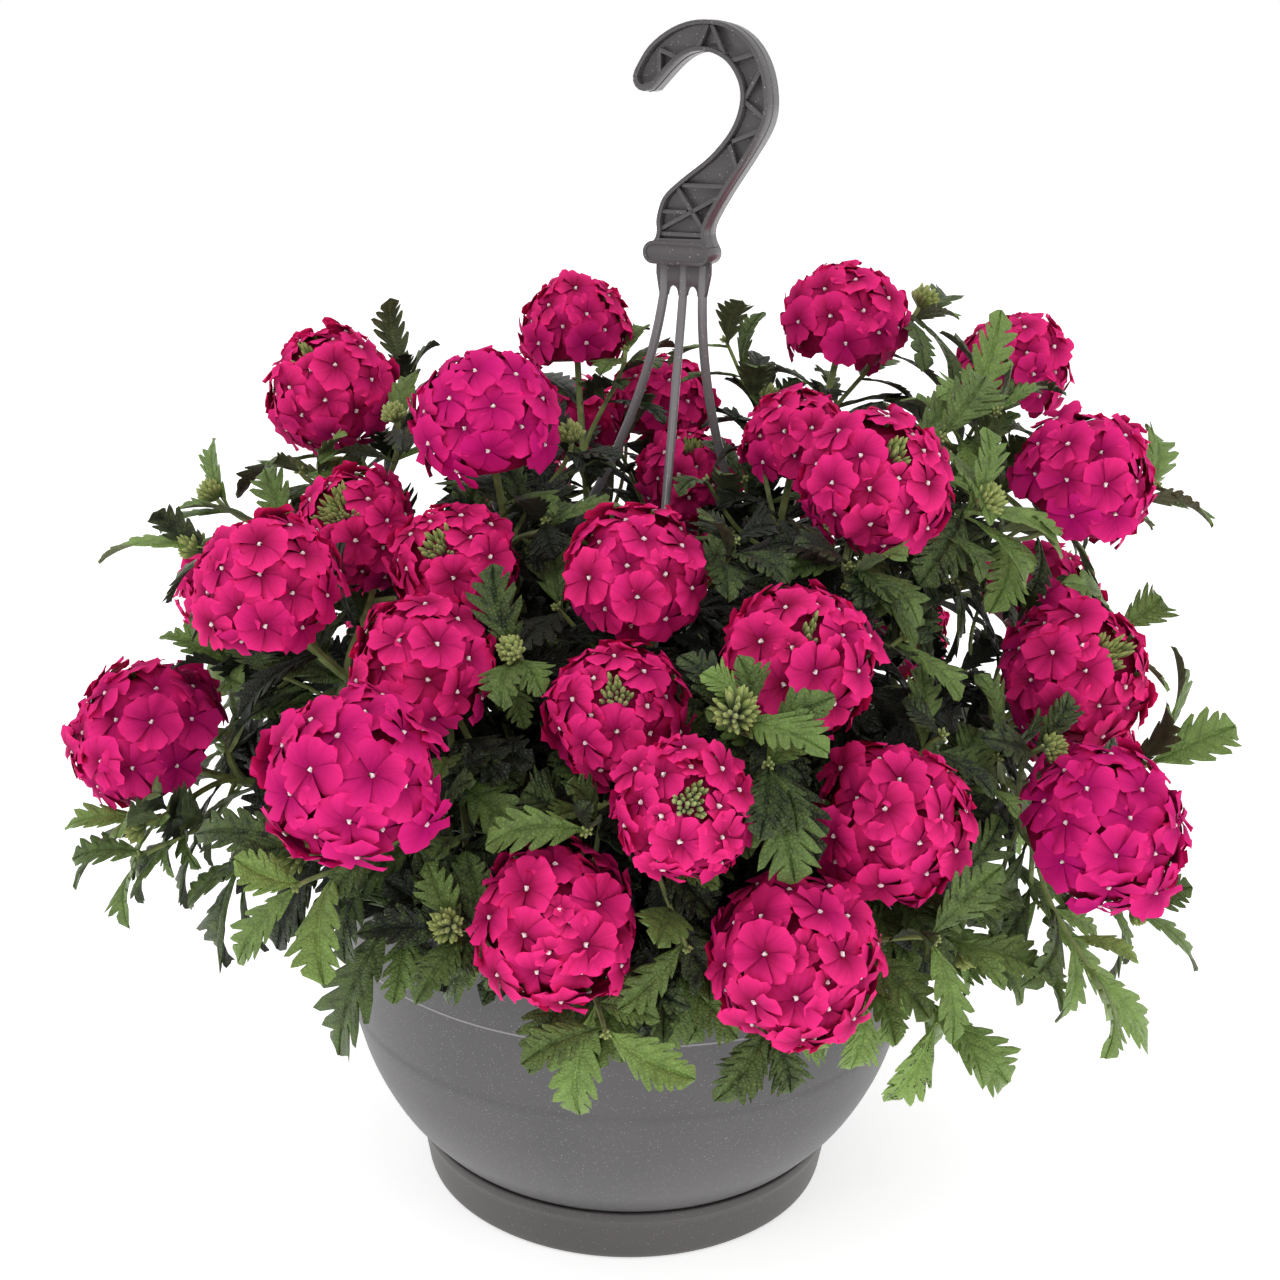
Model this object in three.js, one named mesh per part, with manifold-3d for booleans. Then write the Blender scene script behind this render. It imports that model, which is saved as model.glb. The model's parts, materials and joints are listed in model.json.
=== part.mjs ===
// Verbena in a hanging pot: a moulded bowl on a clip-on saucer, growing medium, a one-piece hanger,
// and the plant as leafy shoots and flower heads.
// Millimetres, +Z up. The origin is the centre of the saucer's underside; the front faces -Y.
import * as THREE from "three";
import { ConvexHull } from "three/addons/math/ConvexHull.js";
import { mergeVertices } from "three/addons/utils/BufferGeometryUtils.js";
import Module from "manifold-3d";

const wasm = await Module();
wasm.setup();

// ---------- driving dimensions ----------

const turnSides = 26; // facets round the pot
const gap = 0.35; // clearance between pieces that touch
const fullTurn = 2 * Math.PI;
const goldenTurn = 2.399963;

const saucer = { footRadius: 86.5, topRadius: 94, height: 24, wall: 2.2, floor: 2.4 };
const bowl = { baseRadius: 78, seamRadius: 125.4, seamHeight: 119.4, rimRadius: 130, height: 160, wall: 3 };
const medium = { top: 147, side: 0.4, holeDepth: 20, holeSides: 4, holeClearance: 1.3 };
// Shoots stand the further out in the medium, the lower their first head is.
const holes = { outer: 88, inner: 28, perHeight: 0.3, fromHeight: 190, mostOfHead: 0.8 };

const hanger = {
  collar: { height: 397, halfWidth: 14, halfHeight: 4.4, depth: 13, shift: 15 },
  hook: { depth: 12, flange: 1.7, web: 3, ribWidth: 1.5, ribShy: 0.9, turn: -25, steps: 8 },
  web: { width: 20, depth: 3.6, drop: 15, shift: 1 },
  leg: { width: 3.6, depth: 3.2, sections: 6, spread: 8, stagger: 2.4 },
  legBow: { radius: 15, height: 288, shift: 10.5 },
  clip: { width: 12, reach: 8, thickness: 2.2, inside: 6, outside: 0.6 },
  legTurns: [150, 270, 30],
};

const stem = { thick: 2, thin: 1.5, sides: 4, sections: 4, foot: 15 };
const branch = { thick: 1.3, thin: 1.3, sides: 4, sections: 3 };
const twig = { thick: 1, thin: 1, sides: 3, sections: 2, firstLeaf: 1.5, leafStep: 3 };
const leaf = { halfThickness: 0.5, arch: 0.1, fold: 0.22, centre: 0.46, turn: 0.2, shorten: 0.05 };
const room = { stem: 0.5, leaf: 0.4 }; // what a new stem or leaf keeps free round itself
const head = {
  florets: 8, // on a head as wide as `small`; a smaller one has `smallFlorets`
  smallFlorets: 7,
  small: 54,
  cap: 112, // degrees from the head's axis to its lowest floret
  petals: 5,
  eye: 0.76, // reach of a floret's middle, its notches and its petal tips, as shares of the head's
  notch: 0.78,
  tip: 0.97,
  uneven: 0.03,
  notchSpan: 0.6, // how far notches and tips lie from a floret's middle, as shares of its span
  tipSpan: 0.9,
  seatReach: 0.34, // a flat seat under the head, for its stem
  seatAngle: 0.37,
  stemGap: 1,
};
const buds = { count: 6, cap: 140, size: 0.62, hollow: 0.62 };
const plantHeart = new THREE.Vector3(0, 0, 60); // the heads and leaves face away from here

// Hook outline in its own plane, from the middle of the collar: across, up.
const hookOuter = [
  [11.4, 2], [12, 11], [18.8, 23], [28.7, 38], [34.6, 49], [35.4, 59], [32.6, 70],
  [26.5, 79], [17.5, 84.4], [6.5, 85.6], [-4, 82.8], [-13.5, 76.2], [-19.2, 67.6],
];
const hookInner = [
  [-13, 60.4], [-3.4, 70], [3.5, 74], [11, 74.3], [18.5, 70.8], [23.6, 63.5], [24.4, 55.5],
  [21, 46.2], [12.8, 36.6], [1, 27.6], [-6, 21], [-8.4, 13], [-7.6, 2],
];
const hookTip = [-18, 61.2];
const hookRibs = [
  [-9.6, 74, -9.2, 63.5], [-9.6, 75, 0.6, 71], [10, 84, 5, 73.2], [11.5, 84, 17.6, 72],
  [19.4, 71, 31.7, 74.4], [33.6, 71, 26, 58], [25.5, 57, 35.2, 50], [34.2, 47.2, 21.4, 42.3],
  [20.4, 41, 24.6, 30], [1.5, 25.7, 20.6, 25.7], [20, 23.6, -7, 9], [-1, 25, 11.4, 8.4],
  [-7.8, 15.6, 3.6, 15.6], [-7.4, 7.4, 11.4, 7.4],
];

// The plant. Each shoot: its flower heads as [x, y, z, diameter], then its leafy twigs,
// with the place of the twig's end, the width of its buds, and leaf tips as [x, y, z, width].
const shoots = [
  {
    name: "crown_left",
    heads: [[-129, 30, 335, 56]],
    twigs: [
      { end: [-99, 0, 331], bud: 9, tips: [] },
      { end: [-100, 58, 338], bud: 0, tips: [[-107, 50, 372, 15], [-90, 66, 352, 14]] },
      { end: [-137, -5, 308], bud: 0, tips: [[-147, -15, 313, 16], [-116, -30, 300, 18]] },
    ],
  },
  {
    name: "crown_mid_left",
    heads: [[-57, -50, 337, 58]],
    twigs: [
      { end: [-27, -25, 329], bud: 10, tips: [[-14, -40, 316, 14]] },
      {
        end: [-34, -70, 305],
        bud: 0,
        tips: [[-29, -85, 295, 16], [-42, -88, 316, 14], [-22, -50, 306, 14]],
      },
    ],
  },
  {
    name: "crown_back_left",
    heads: [[-29, 70, 357, 50]],
    twigs: [
      { end: [-7, 60, 351], bud: 0, tips: [[1, 70, 360, 14], [-17, 40, 344, 15]] },
    ],
  },
  {
    name: "crown_back",
    heads: [[9, 88, 322, 49], [22, 46, 298, 45]],
    twigs: [
    ],
  },
  {
    name: "crown_back_right",
    heads: [[85, 45, 365, 54]],
    twigs: [
      { end: [120, 60, 375], bud: 11, tips: [[131, 30, 343, 17], [97, 15, 347, 16]] },
    ],
  },
  {
    name: "crown_right",
    heads: [[160, 55, 347, 49], [174, -20, 313, 59]],
    twigs: [
      { end: [120, -10, 338], bud: 12, tips: [[142, 5, 377, 19], [127, -30, 313, 18], [105, -5, 344, 15]] },
      { end: [209, -5, 310], bud: 0, tips: [[215, -15, 304, 15]] },
    ],
  },
  {
    name: "middle_right",
    heads: [[62, -20, 326, 45], [86, -78, 323, 55]],
    twigs: [
      { end: [52, 38, 336], bud: 11, tips: [[38, 44, 342, 14], [48, 62, 352, 14], [70, 38, 336, 15]] },
      {
        end: [128, -70, 316],
        bud: 12,
        tips: [[102, -92, 290, 20], [158, -72, 299, 20] ],
      },
      {
        end: [75, -100, 298],
        bud: 0,
        tips: [[55, -112, 308, 17], [90, -112, 289, 17], [73, -118, 286, 16]],
      },
    ],
  },
  {
    name: "left_upper",
    heads: [[-131, -95, 283, 55], [-109, -38, 292, 49]],
    twigs: [
      { end: [-178, -20, 280], bud: 11, tips: [[-216, -20, 275, 14]] },
      { end: [-173, -5, 298], bud: 10, tips: [] },
    ],
  },
  {
    name: "left_middle",
    heads: [[-67, -76, 288, 49], [-73, -121, 262, 53]],
    twigs: [
      { end: [-42, -128, 273], bud: 9, tips: [[-31, -140, 262, 14]] },
      { end: [-53, -130, 231], bud: 0, tips: [[-65, -140, 229, 16], [-38, -140, 228, 17]] },
      { end: [-58, -150, 204], bud: 0, tips: [[-67, -160, 192, 15], [-44, -155, 210, 15]] },
    ],
  },
  {
    name: "middle",
    heads: [[0, -100, 292, 53]],
    twigs: [
      {
        end: [35, -95, 305],
        bud: 0,
        tips: [[22, -85, 310, 15], [49, -95, 311, 17], [52, -118, 297, 17], [32, -120, 292, 16]],
      },
    ],
  },
  {
    name: "middle_front",
    heads: [[-5, -137, 254, 51], [17, -180, 237, 47]],
    twigs: [
      { end: [-24, -150, 221], bud: 0, tips: [[-36, -150, 230, 18], [-13, -165, 215, 17]] },
    ],
  },
  {
    name: "middle_front_right",
    heads: [[57, -125, 270, 55]],
    twigs: [
      { end: [33, -170, 267], bud: 14, tips: [[23, -165, 278, 14]] },
      {
        end: [44, -172, 250],
        bud: 0,
        tips: [[24, -186, 223, 17], [54, -186, 215, 25], [63, -172, 273, 16], [62, -140, 271, 15]],
      },
    ],
  },
  {
    name: "right_middle",
    heads: [[169, -58, 246, 59], [169, -112, 204, 65]],
    twigs: [
      { end: [153, -100, 231], bud: 10, tips: [] },
      {
        end: [209, -35, 201],
        bud: 0,
        tips: [[244, -30, 217, 22], [220, -25, 247, 21], [211, -45, 191, 16]],
      },
      { end: [157, -88, 163], bud: 0, tips: [[188, -90, 116, 20], [138, -98, 150, 15]] },
      { end: [200, -70, 152], bud: 9, tips: [[226, -72, 129, 14]] },
      { end: [194, -25, 257], bud: 0, tips: [[211, -20, 267, 19], [165, -55, 283, 17]] },
    ],
  },
  {
    name: "left_far",
    heads: [[-193, -40, 205, 66], [-178, 60, 238, 58]],
    twigs: [
      {
        end: [-175, 40, 175],
        bud: 0,
        tips: [[-200, 50, 150, 19], [-195, 20, 175, 16], [-175, 70, 160, 17]],
      },
      {
        end: [-194, -65, 177],
        bud: 11,
        tips: [[-224, -60, 178, 17], [-221, -65, 151, 17], [-158, -90, 211, 15], [-180, -70, 158, 15]],
      },
      {
        end: [-160, -42, 238],
        bud: 0,
        tips: [[-187, -40, 248, 15], [-176, -22, 256, 14], [-150, -62, 236, 15]],
      },
    ],
  },
  {
    name: "left_front",
    heads: [[-88, -175, 243, 61]],
    twigs: [
      {
        end: [-118, -140, 200],
        bud: 14,
        tips: [[-155, -128, 203, 17], [-123, -150, 169, 18], [-98, -128, 202, 15]],
      },
      {
        end: [-153, -70, 165],
        bud: 0,
        tips: [[-162, -70, 122, 30], [-147, -55, 120, 20], [-177, -60, 141, 15]],
      },
    ],
  },
  {
    name: "front_left",
    heads: [[-24, -170, 191, 57]],
    twigs: [
      {
        end: [-60, -172, 190],
        bud: 11,
        tips: [[-89, -176, 189, 14], [-40, -182, 163, 19], [-53, -165, 215, 16], [-71, -160, 212, 15]],
      },
      {
        end: [-84, -150, 182],
        bud: 0,
        tips: [[-101, -152, 129, 26], [-91, -140, 200, 16], [-68, -150, 156, 16]],
      },
    ],
  },
  {
    name: "front_middle",
    heads: [[55, -177, 183, 59]],
    twigs: [
      { end: [14, -150, 165], bud: 0, tips: [[39, -160, 144, 18], [2, -160, 172, 17], [25, -150, 180, 15]] },
      { end: [-5, -150, 158], bud: 0, tips: [[-1, -158, 132, 15]] },
      { end: [52, -152, 138], bud: 0, tips: [[36, -160, 127, 18], [58, -160, 123, 17]] },
    ],
  },
  {
    name: "front_right",
    heads: [[89, -143, 218, 57]],
    twigs: [
      {
        end: [121, -132, 163],
        bud: 9,
        tips: [[151, -130, 156, 17], [91, -140, 154, 17], [109, -145, 201, 18], [147, -118, 137, 17]],
      },
      { end: [115, -122, 131], bud: 0, tips: [[97, -130, 101, 21], [143, -125, 108, 23]] },
      { end: [86, -135, 147], bud: 0, tips: [[81, -140, 121, 20]] },
      {
        end: [119, -125, 182],
        bud: 0,
        tips: [[145, -105, 178, 17], [137, -115, 165, 14]],
      },
      {
        end: [110, -115, 241],
        bud: 0,
        tips: [[95, -115, 253, 15], [106, -130, 226, 16], [134, -105, 222, 16]],
      },
    ],
  },
  {
    name: "back_left",
    heads: [[-62, 160, 265, 56], [-118, 138, 208, 56]],
    twigs: [
      {
        end: [-90, 165, 180],
        bud: 0,
        tips: [[-100, 180, 150, 18], [-120, 165, 170, 17], [-75, 185, 185, 16]],
      },
      {
        end: [-150, 110, 260],
        bud: 10,
        tips: [[-175, 120, 262, 16], [-150, 135, 275, 16], [-160, 90, 275, 15]],
      },
    ],
  },
  {
    name: "back_right",
    heads: [[100, 146, 270, 54], [130, 150, 200, 56]],
    twigs: [
      {
        end: [160, 120, 235],
        bud: 10,
        tips: [[190, 125, 235, 17], [165, 145, 250, 16], [170, 100, 255, 16]],
      },
      { end: [95, 165, 160], bud: 0, tips: [[105, 185, 130, 19], [125, 170, 145, 17], [75, 185, 160, 16]] },
    ],
  },
  {
    name: "back_middle",
    heads: [[22, 172, 240, 56], [-30, 120, 305, 50]],
    twigs: [
      { end: [-20, 175, 195], bud: 9, tips: [[-25, 200, 170, 18], [-45, 185, 200, 16], [0, 195, 185, 16]] },
      { end: [45, 160, 180], bud: 0, tips: [[50, 185, 150, 19], [65, 180, 185, 16]] },
    ],
  },
  {
    name: "side_right",
    heads: [[182, 66, 240, 58], [196, 32, 180, 58]],
    twigs: [
      { end: [165, 90, 170], bud: 0, tips: [[180, 105, 140, 19], [190, 80, 175, 16]] },
    ],
  },
];

// ---------- small tools ----------

const at = (x, y, z) => new THREE.Vector3(x, y, z);

// A repeatable draw between 0 and 1 for the thing with these numbers.
function draw(...numbers) {
  let mixed = 2166136261;
  for (const number of numbers) {
    mixed = Math.imul(mixed ^ (number + 101), 16777619);
    mixed ^= mixed >>> 13;
  }
  mixed = Math.imul(mixed ^ (mixed >>> 15), 1540483477);
  return ((mixed ^ (mixed >>> 16)) >>> 0) / 4294967296;
}

// A closed mesh of points and triangles as a solid, turned the right way out.
function solidOf(points, triangles) {
  const build = (order) =>
    new wasm.Manifold(
      new wasm.Mesh({
        numProp: 3,
        vertProperties: new Float32Array(points.flatMap((p) => [p.x, p.y, p.z])),
        triVerts: new Uint32Array(triangles.flatMap(order)),
      }),
    );
  const solid = build(([a, b, c]) => [a, b, c]);
  return solid.volume() > 0 ? solid : build(([a, b, c]) => [a, c, b]);
}

// A three.js geometry as a solid, with its doubled vertices joined.
function solidFrom(geometry) {
  const bare = geometry.index ? geometry.toNonIndexed() : geometry.clone();
  bare.deleteAttribute("normal");
  bare.deleteAttribute("uv");
  const joined = mergeVertices(bare, 1e-3);
  const corner = joined.attributes.position;
  const points = [];
  for (let i = 0; i < corner.count; i++) points.push(new THREE.Vector3().fromBufferAttribute(corner, i));
  const triangles = [];
  for (let i = 0; i < joined.index.count; i += 3) {
    const [a, b, c] = [0, 1, 2].map((k) => joined.index.getX(i + k));
    if (a !== b && b !== c && c !== a) triangles.push([a, b, c]);
  }
  return solidOf(points, triangles);
}

const joinAll = (solids) => solids.reduce((whole, solid) => whole.add(solid));

// The largest piece of a solid, in case a cut left a scrap.
function mainBody(solid) {
  return solid.decompose().reduce((a, b) => (b.volume() > a.volume() ? b : a));
}

const group = new THREE.Group();

function addMesh(name, solid, material) {
  const mesh = solid.getMesh();
  const places = new Float32Array(mesh.numVert * 3);
  for (let i = 0; i < mesh.numVert; i++) {
    places.set(mesh.vertProperties.subarray(i * mesh.numProp, i * mesh.numProp + 3), i * 3);
  }
  const geometry = new THREE.BufferGeometry();
  geometry.setAttribute("position", new THREE.BufferAttribute(places, 3));
  geometry.setIndex(new THREE.BufferAttribute(mesh.triVerts, 1));
  geometry.computeVertexNormals();
  const made = new THREE.Mesh(geometry, new THREE.MeshStandardMaterial(material));
  made.name = name;
  group.add(made);
}

// Everything already in place, which later pieces keep clear of.
const placed = [];

function remember(solid, owner) {
  const box = solid.boundingBox();
  placed.push({ solid, owner, low: box.min, high: box.max });
}

function clears(solid, isOwn) {
  const { min, max } = solid.boundingBox();
  return placed.every(
    (other) =>
      isOwn(other.owner) ||
      [0, 1, 2].some((k) => max[k] < other.low[k] || min[k] > other.high[k]) ||
      solid.intersect(other.solid).volume() < 1e-4,
  );
}

// ---------- bowl, saucer and growing medium ----------

function turned(profile) {
  const points = profile.map(([radius, height]) => new THREE.Vector2(radius, height));
  return solidFrom(new THREE.LatheGeometry(points, turnSides).rotateX(Math.PI / 2));
}

const saucerSolid = turned([
  [0, 0],
  [saucer.footRadius - 1.5, 0],
  [saucer.footRadius, 1.5],
  [saucer.topRadius - 0.8, saucer.height - 4],
  [saucer.topRadius, saucer.height - 3.4],
  [saucer.topRadius, saucer.height],
  [saucer.topRadius - saucer.wall, saucer.height],
  [saucer.footRadius - saucer.wall, saucer.floor],
  [0, saucer.floor],
]);

const bowlBase = saucer.floor + gap;
const bowlFloor = bowlBase + bowl.wall + 0.8;
const bowlInside = [
  [bowl.rimRadius - 4, bowl.height - 2],
  [bowl.seamRadius - bowl.wall, bowl.seamHeight],
  [112, 60],
  [90, 27],
  [74, bowlFloor],
];
const bowlSolid = turned([
  [0, bowlBase],
  [bowl.baseRadius, bowlBase],
  [87.6, 17],
  [91, saucer.height + 0.6],
  [95.5, 28.5],
  [103.5, 39],
  [110.5, 51],
  [115.8, 64],
  [119.6, 79],
  [123, 98],
  [bowl.seamRadius - 0.7, bowl.seamHeight - 0.4],
  [bowl.seamRadius, bowl.seamHeight],
  [127, bowl.height - 11],
  [bowl.rimRadius - 0.5, bowl.height - 10],
  [bowl.rimRadius, bowl.height - 2],
  [bowl.rimRadius - 1.5, bowl.height],
  ...bowlInside,
  [0, bowlFloor],
]);

// ---------- hanger ----------

// One curve of the hook's outline, moved sideways by `inset` towards the middle of the band.
function hookEdge(points, inset) {
  const { steps } = hanger.hook;
  const curve = new THREE.SplineCurve(points.map(([x, z]) => new THREE.Vector2(x, z)));
  return Array.from({ length: steps + 1 }, (_, i) => {
    const place = curve.getPoint(i / steps);
    const along = curve.getTangent(i / steps);
    return place.add(new THREE.Vector2(-along.y, along.x).multiplyScalar(inset));
  });
}

// The hook's whole plate, or with an inset the pocket inside its rim.
function hookPlate(inset, depth) {
  const outer = hookEdge(hookOuter, inset);
  const inner = hookEdge(hookInner, inset);
  const outline = inset
    ? [...outer.slice(1, -1), ...inner.slice(1, -1)]
    : [...outer, new THREE.Vector2(...hookTip), ...inner];
  return new THREE.ExtrudeGeometry(new THREE.Shape(outline), { depth, bevelEnabled: false });
}

// Shapes are drawn across and up; this stands them upright, centred front to back.
function upright(geometry, depth) {
  return geometry.translate(0, 0, -depth / 2).rotateX(Math.PI / 2);
}

function bar(x1, z1, x2, z2, width, depth) {
  const length = Math.hypot(x2 - x1, z2 - z1);
  const box = new THREE.BoxGeometry(length + width, depth, width);
  box.rotateY(-Math.atan2(z2 - z1, x2 - x1));
  return box.translate((x1 + x2) / 2, 0, (z1 + z2) / 2);
}

function hookSolid() {
  const { depth, flange, web, ribWidth, ribShy } = hanger.hook;
  const pocketDepth = (depth - web) / 2 + 1;
  const pocket = hookPlate(flange, pocketDepth);
  let hook = solidFrom(upright(hookPlate(0, depth), depth));
  for (const side of [-1, 1]) {
    const middle = (side * (web + pocketDepth)) / 2;
    const tool = upright(pocket.clone(), pocketDepth).translate(0, middle, 0);
    hook = hook.subtract(solidFrom(tool));
  }
  const ribs = hookRibs.map(([x1, z1, x2, z2]) =>
    solidFrom(bar(x1, z1, x2, z2, ribWidth, depth - 2 * ribShy)));
  return joinAll([hook, ...ribs]);
}

function collarSolid() {
  const { halfWidth, halfHeight, depth } = hanger.collar;
  const end = halfWidth - halfHeight;
  const outline = new THREE.Shape();
  outline.absarc(end, 0, halfHeight, -Math.PI / 2, Math.PI / 2);
  outline.absarc(-end, 0, halfHeight, Math.PI / 2, (3 * Math.PI) / 2);
  const plate = new THREE.ExtrudeGeometry(outline, { depth, bevelEnabled: false, curveSegments: 5 });
  const { width, depth: webDepth, drop, shift } = hanger.web;
  const web = new THREE.BoxGeometry(width, webDepth, drop).translate(shift, 0, -drop / 2);
  return solidFrom(upright(plate, depth)).add(solidFrom(web));
}

// The clip that straddles the rim, at the foot of a leg.
function clipSolid(angle) {
  const { width, reach, thickness, inside, outside } = hanger.clip;
  const near = bowl.rimRadius - inside - thickness;
  const far = bowl.rimRadius + outside;
  const seat = bowl.height + gap;
  const blocks = [
    [near, far + thickness, seat, seat + thickness],
    [near, near + thickness, seat - reach, seat + thickness / 2],
    [far, far + thickness, seat - reach, seat + thickness / 2],
  ];
  return joinAll(
    blocks.map(([start, end, low, high]) =>
      solidFrom(
        new THREE.BoxGeometry(end - start, width, high - low)
          .translate((start + end) / 2, 0, (low + high) / 2)
          .rotateZ(angle),
      )),
  );
}

// A leg on its bow from the web under the collar to its clip; `slot` is its place along the web.
function legSolid(turn, slot) {
  const { collar, web, leg, legBow, clip } = hanger;
  const angle = THREE.MathUtils.degToRad(turn);
  const out = at(Math.cos(angle), Math.sin(angle), 0);
  const across = collar.shift + web.shift + slot * leg.spread;
  const top = at(across, -slot * leg.stagger, collar.height - 0.8 * web.drop);
  const bend = out.clone().multiplyScalar(legBow.radius).add(at(legBow.shift, 0, legBow.height));
  const foot = out.clone().multiplyScalar(bowl.rimRadius - 2);
  foot.z = bowl.height + gap + clip.thickness / 2;
  const corners = [[-1, -1], [1, -1], [1, 1], [-1, 1]];
  const section = new THREE.Shape(
    corners.map(([a, b]) => new THREE.Vector2((a * leg.width) / 2, (b * leg.depth) / 2)),
  );
  const extrudePath = new THREE.QuadraticBezierCurve3(top, bend, foot);
  const settings = { steps: leg.sections, bevelEnabled: false, extrudePath };
  const shank = new THREE.ExtrudeGeometry(section, settings);
  return solidFrom(shank).add(clipSolid(angle));
}

function hangerSolid() {
  const { collar, hook } = hanger;
  const grip = hookSolid()
    .add(collarSolid())
    .rotate([0, 0, hook.turn])
    .translate([collar.shift, 0, collar.height]);
  return joinAll([grip, ...hanger.legTurns.map((turn, i) => legSolid(turn, i - 1))]);
}

// ---------- flowers ----------

// A closed surface round `centre`: one vertex for each spoke, at its reach along its own way.
function spokedSolid(centre, spokes) {
  const hull = new ConvexHull().setFromPoints(spokes.map((spoke) => spoke.way));
  const number = new Map(spokes.map((spoke, i) => [spoke.way, i]));
  const triangles = hull.faces.map((face) =>
    [face.edge.prev, face.edge, face.edge.next].map((edge) => number.get(edge.head().point)));
  return solidOf(
    spokes.map(({ way, reach }) => centre.clone().addScaledVector(way, reach)),
    triangles,
  );
}

// Evenly spread ways round `axis`, out to `cap` degrees from it.
function spreadWays(axis, count, cap, start) {
  const low = Math.cos(THREE.MathUtils.degToRad(cap));
  return Array.from({ length: count }, (_, i) => {
    const height = 1 - ((1 - low) * (i + 0.5)) / count;
    return leaningWay(axis, Math.acos(height), start + i * goldenTurn);
  });
}

// The way that leans `angle` from `axis`, turned about it.
function leaningWay(axis, angle, turn) {
  const side = at(0.2, 0.3, 0.93).cross(axis).normalize();
  const other = axis.clone().cross(side);
  return axis
    .clone()
    .multiplyScalar(Math.cos(angle))
    .addScaledVector(side, Math.sin(angle) * Math.cos(turn))
    .addScaledVector(other, Math.sin(angle) * Math.sin(turn));
}

// The ways halfway between neighbours among `ways`.
function hollowWays(ways) {
  const hull = new ConvexHull().setFromPoints(ways);
  return hull.faces.map((face) =>
    [face.edge.prev, face.edge, face.edge.next]
      .reduce((sum, edge) => sum.add(edge.head().point), at(0, 0, 0))
      .normalize());
}

const headAxis = ([x, y, z]) => at(x * 0.75, y * 0.75, z - 60).normalize();

// A rounded head of florets, each with five petals that stand out from the notches between them.
function flowerHead(place, number) {
  const radius = place[3] / 2;
  const axis = headAxis(place);
  const count = place[3] < head.small ? head.smallFlorets : head.florets;
  const florets = spreadWays(axis, count, head.cap, draw(number, 1) * fullTurn);
  const span = Math.sqrt((2 * (1 - Math.cos(THREE.MathUtils.degToRad(head.cap)))) / count);
  const spokes = [];
  florets.forEach((way, i) => {
    const start = draw(number, i, 2) * fullTurn;
    spokes.push({ way, reach: radius * head.eye });
    for (let k = 0; k < head.petals; k++) {
      const turn = start + (k * fullTurn) / head.petals;
      const tip = leaningWay(way, span * head.tipSpan, turn);
      const notch = leaningWay(way, span * head.notchSpan, turn + fullTurn / head.petals / 2);
      spokes.push({ way: tip, reach: radius * (head.tip + head.uneven * draw(number, i, k)) });
      spokes.push({ way: notch, reach: radius * head.notch });
    }
  });
  const under = axis.clone().negate();
  for (let k = 0; k < 4; k++) {
    const way = leaningWay(under, head.seatAngle, (k * fullTurn) / 4);
    spokes.push({ way, reach: (radius * head.seatReach) / Math.cos(head.seatAngle) });
  }
  return spokedSolid(at(...place), spokes);
}

// A young head of pointed buds.
function budHead(centre, width, number) {
  const radius = width * buds.size;
  const tips = spreadWays(at(0, 0, 1), buds.count, buds.cap, draw(number, 5) * fullTurn);
  const spokes = tips.map((way) => ({ way, reach: radius }));
  for (const way of hollowWays([...tips, at(0, 0, -1)])) {
    spokes.push({ way, reach: radius * buds.hollow });
  }
  return spokedSolid(centre, spokes);
}

// ---------- stems and leaves ----------

// A tapering stem through these points, with flat ends.
function stemSolid(points, thick, thin, sides) {
  const rings = points.map((point, i) => {
    const before = points[Math.max(i - 1, 0)];
    const after = points[Math.min(i + 1, points.length - 1)];
    const along = after.clone().sub(before).normalize();
    const side = at(0.8, 0.6, 0).cross(along).normalize();
    const other = along.clone().cross(side);
    const radius = thick + ((thin - thick) * i) / (points.length - 1);
    return Array.from({ length: sides }, (_, k) => {
      const turn = (k * fullTurn) / sides;
      return point
        .clone()
        .addScaledVector(side, radius * Math.cos(turn))
        .addScaledVector(other, radius * Math.sin(turn));
    });
  });
  const triangles = [];
  const last = (points.length - 1) * sides;
  for (let k = 0; k < sides; k++) {
    const next = (k + 1) % sides;
    for (let ring = 0; ring < last; ring += sides) {
      triangles.push([ring + k, ring + next, ring + sides + next]);
      triangles.push([ring + k, ring + sides + next, ring + sides + k]);
    }
    if (k > 0 && k < sides - 1) {
      triangles.push([0, k + 1, k]);
      triangles.push([last, last + k, last + k + 1]);
    }
  }
  return solidOf(rings.flat(), triangles);
}

// Half outline of a toothed blade, from before the base to before the tip: along, out.
const blade = [[0.36, 0.86], [0.46, 0.5], [0.68, 1], [0.78, 0.46]];

// A blade that arches along its rib and folds up at its sides. Both faces share the toothed outline
// and spread from one point on the rib, so that they split alike.
function leafSolid({ base, tip, width }, grow) {
  const length = base.distanceTo(tip);
  const along = tip.clone().sub(base).normalize();
  const middle = base.clone().lerp(tip, 0.5).sub(plantHeart);
  const face = middle.addScaledVector(along, -middle.dot(along)).normalize();
  const side = face.clone().cross(along);
  const half = width / 2 + grow;
  const onRib = (u) =>
    base
      .clone()
      .addScaledVector(along, u * length)
      .addScaledVector(face, 4 * u * (1 - u) * leaf.arch * length);
  const edgePoint = (hand, [u, out]) =>
    onRib(u)
      .addScaledVector(side, hand * out * half)
      .addScaledVector(face, leaf.fold * out * half);
  const outline = [
    base.clone(),
    ...blade.map((place) => edgePoint(1, place)),
    onRib(1).addScaledVector(along, grow),
    ...blade.map((place) => edgePoint(-1, place)).reverse(),
  ];
  const thick = leaf.halfThickness + grow;
  const centres = [1, -1].map((up) => onRib(leaf.centre).addScaledVector(face, up * thick));
  const over = outline.length;
  const triangles = outline.flatMap((_, i) => {
    const next = (i + 1) % outline.length;
    return [[over, next, i], [over + 1, i, next]];
  });
  return solidOf([...outline, ...centres], triangles);
}

function curvePoints(from, lead, approach, to, count) {
  const curve = new THREE.CubicBezierCurve3(from, lead, approach, to);
  return Array.from({ length: count + 1 }, (_, i) => curve.getPoint(i / count));
}

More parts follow.
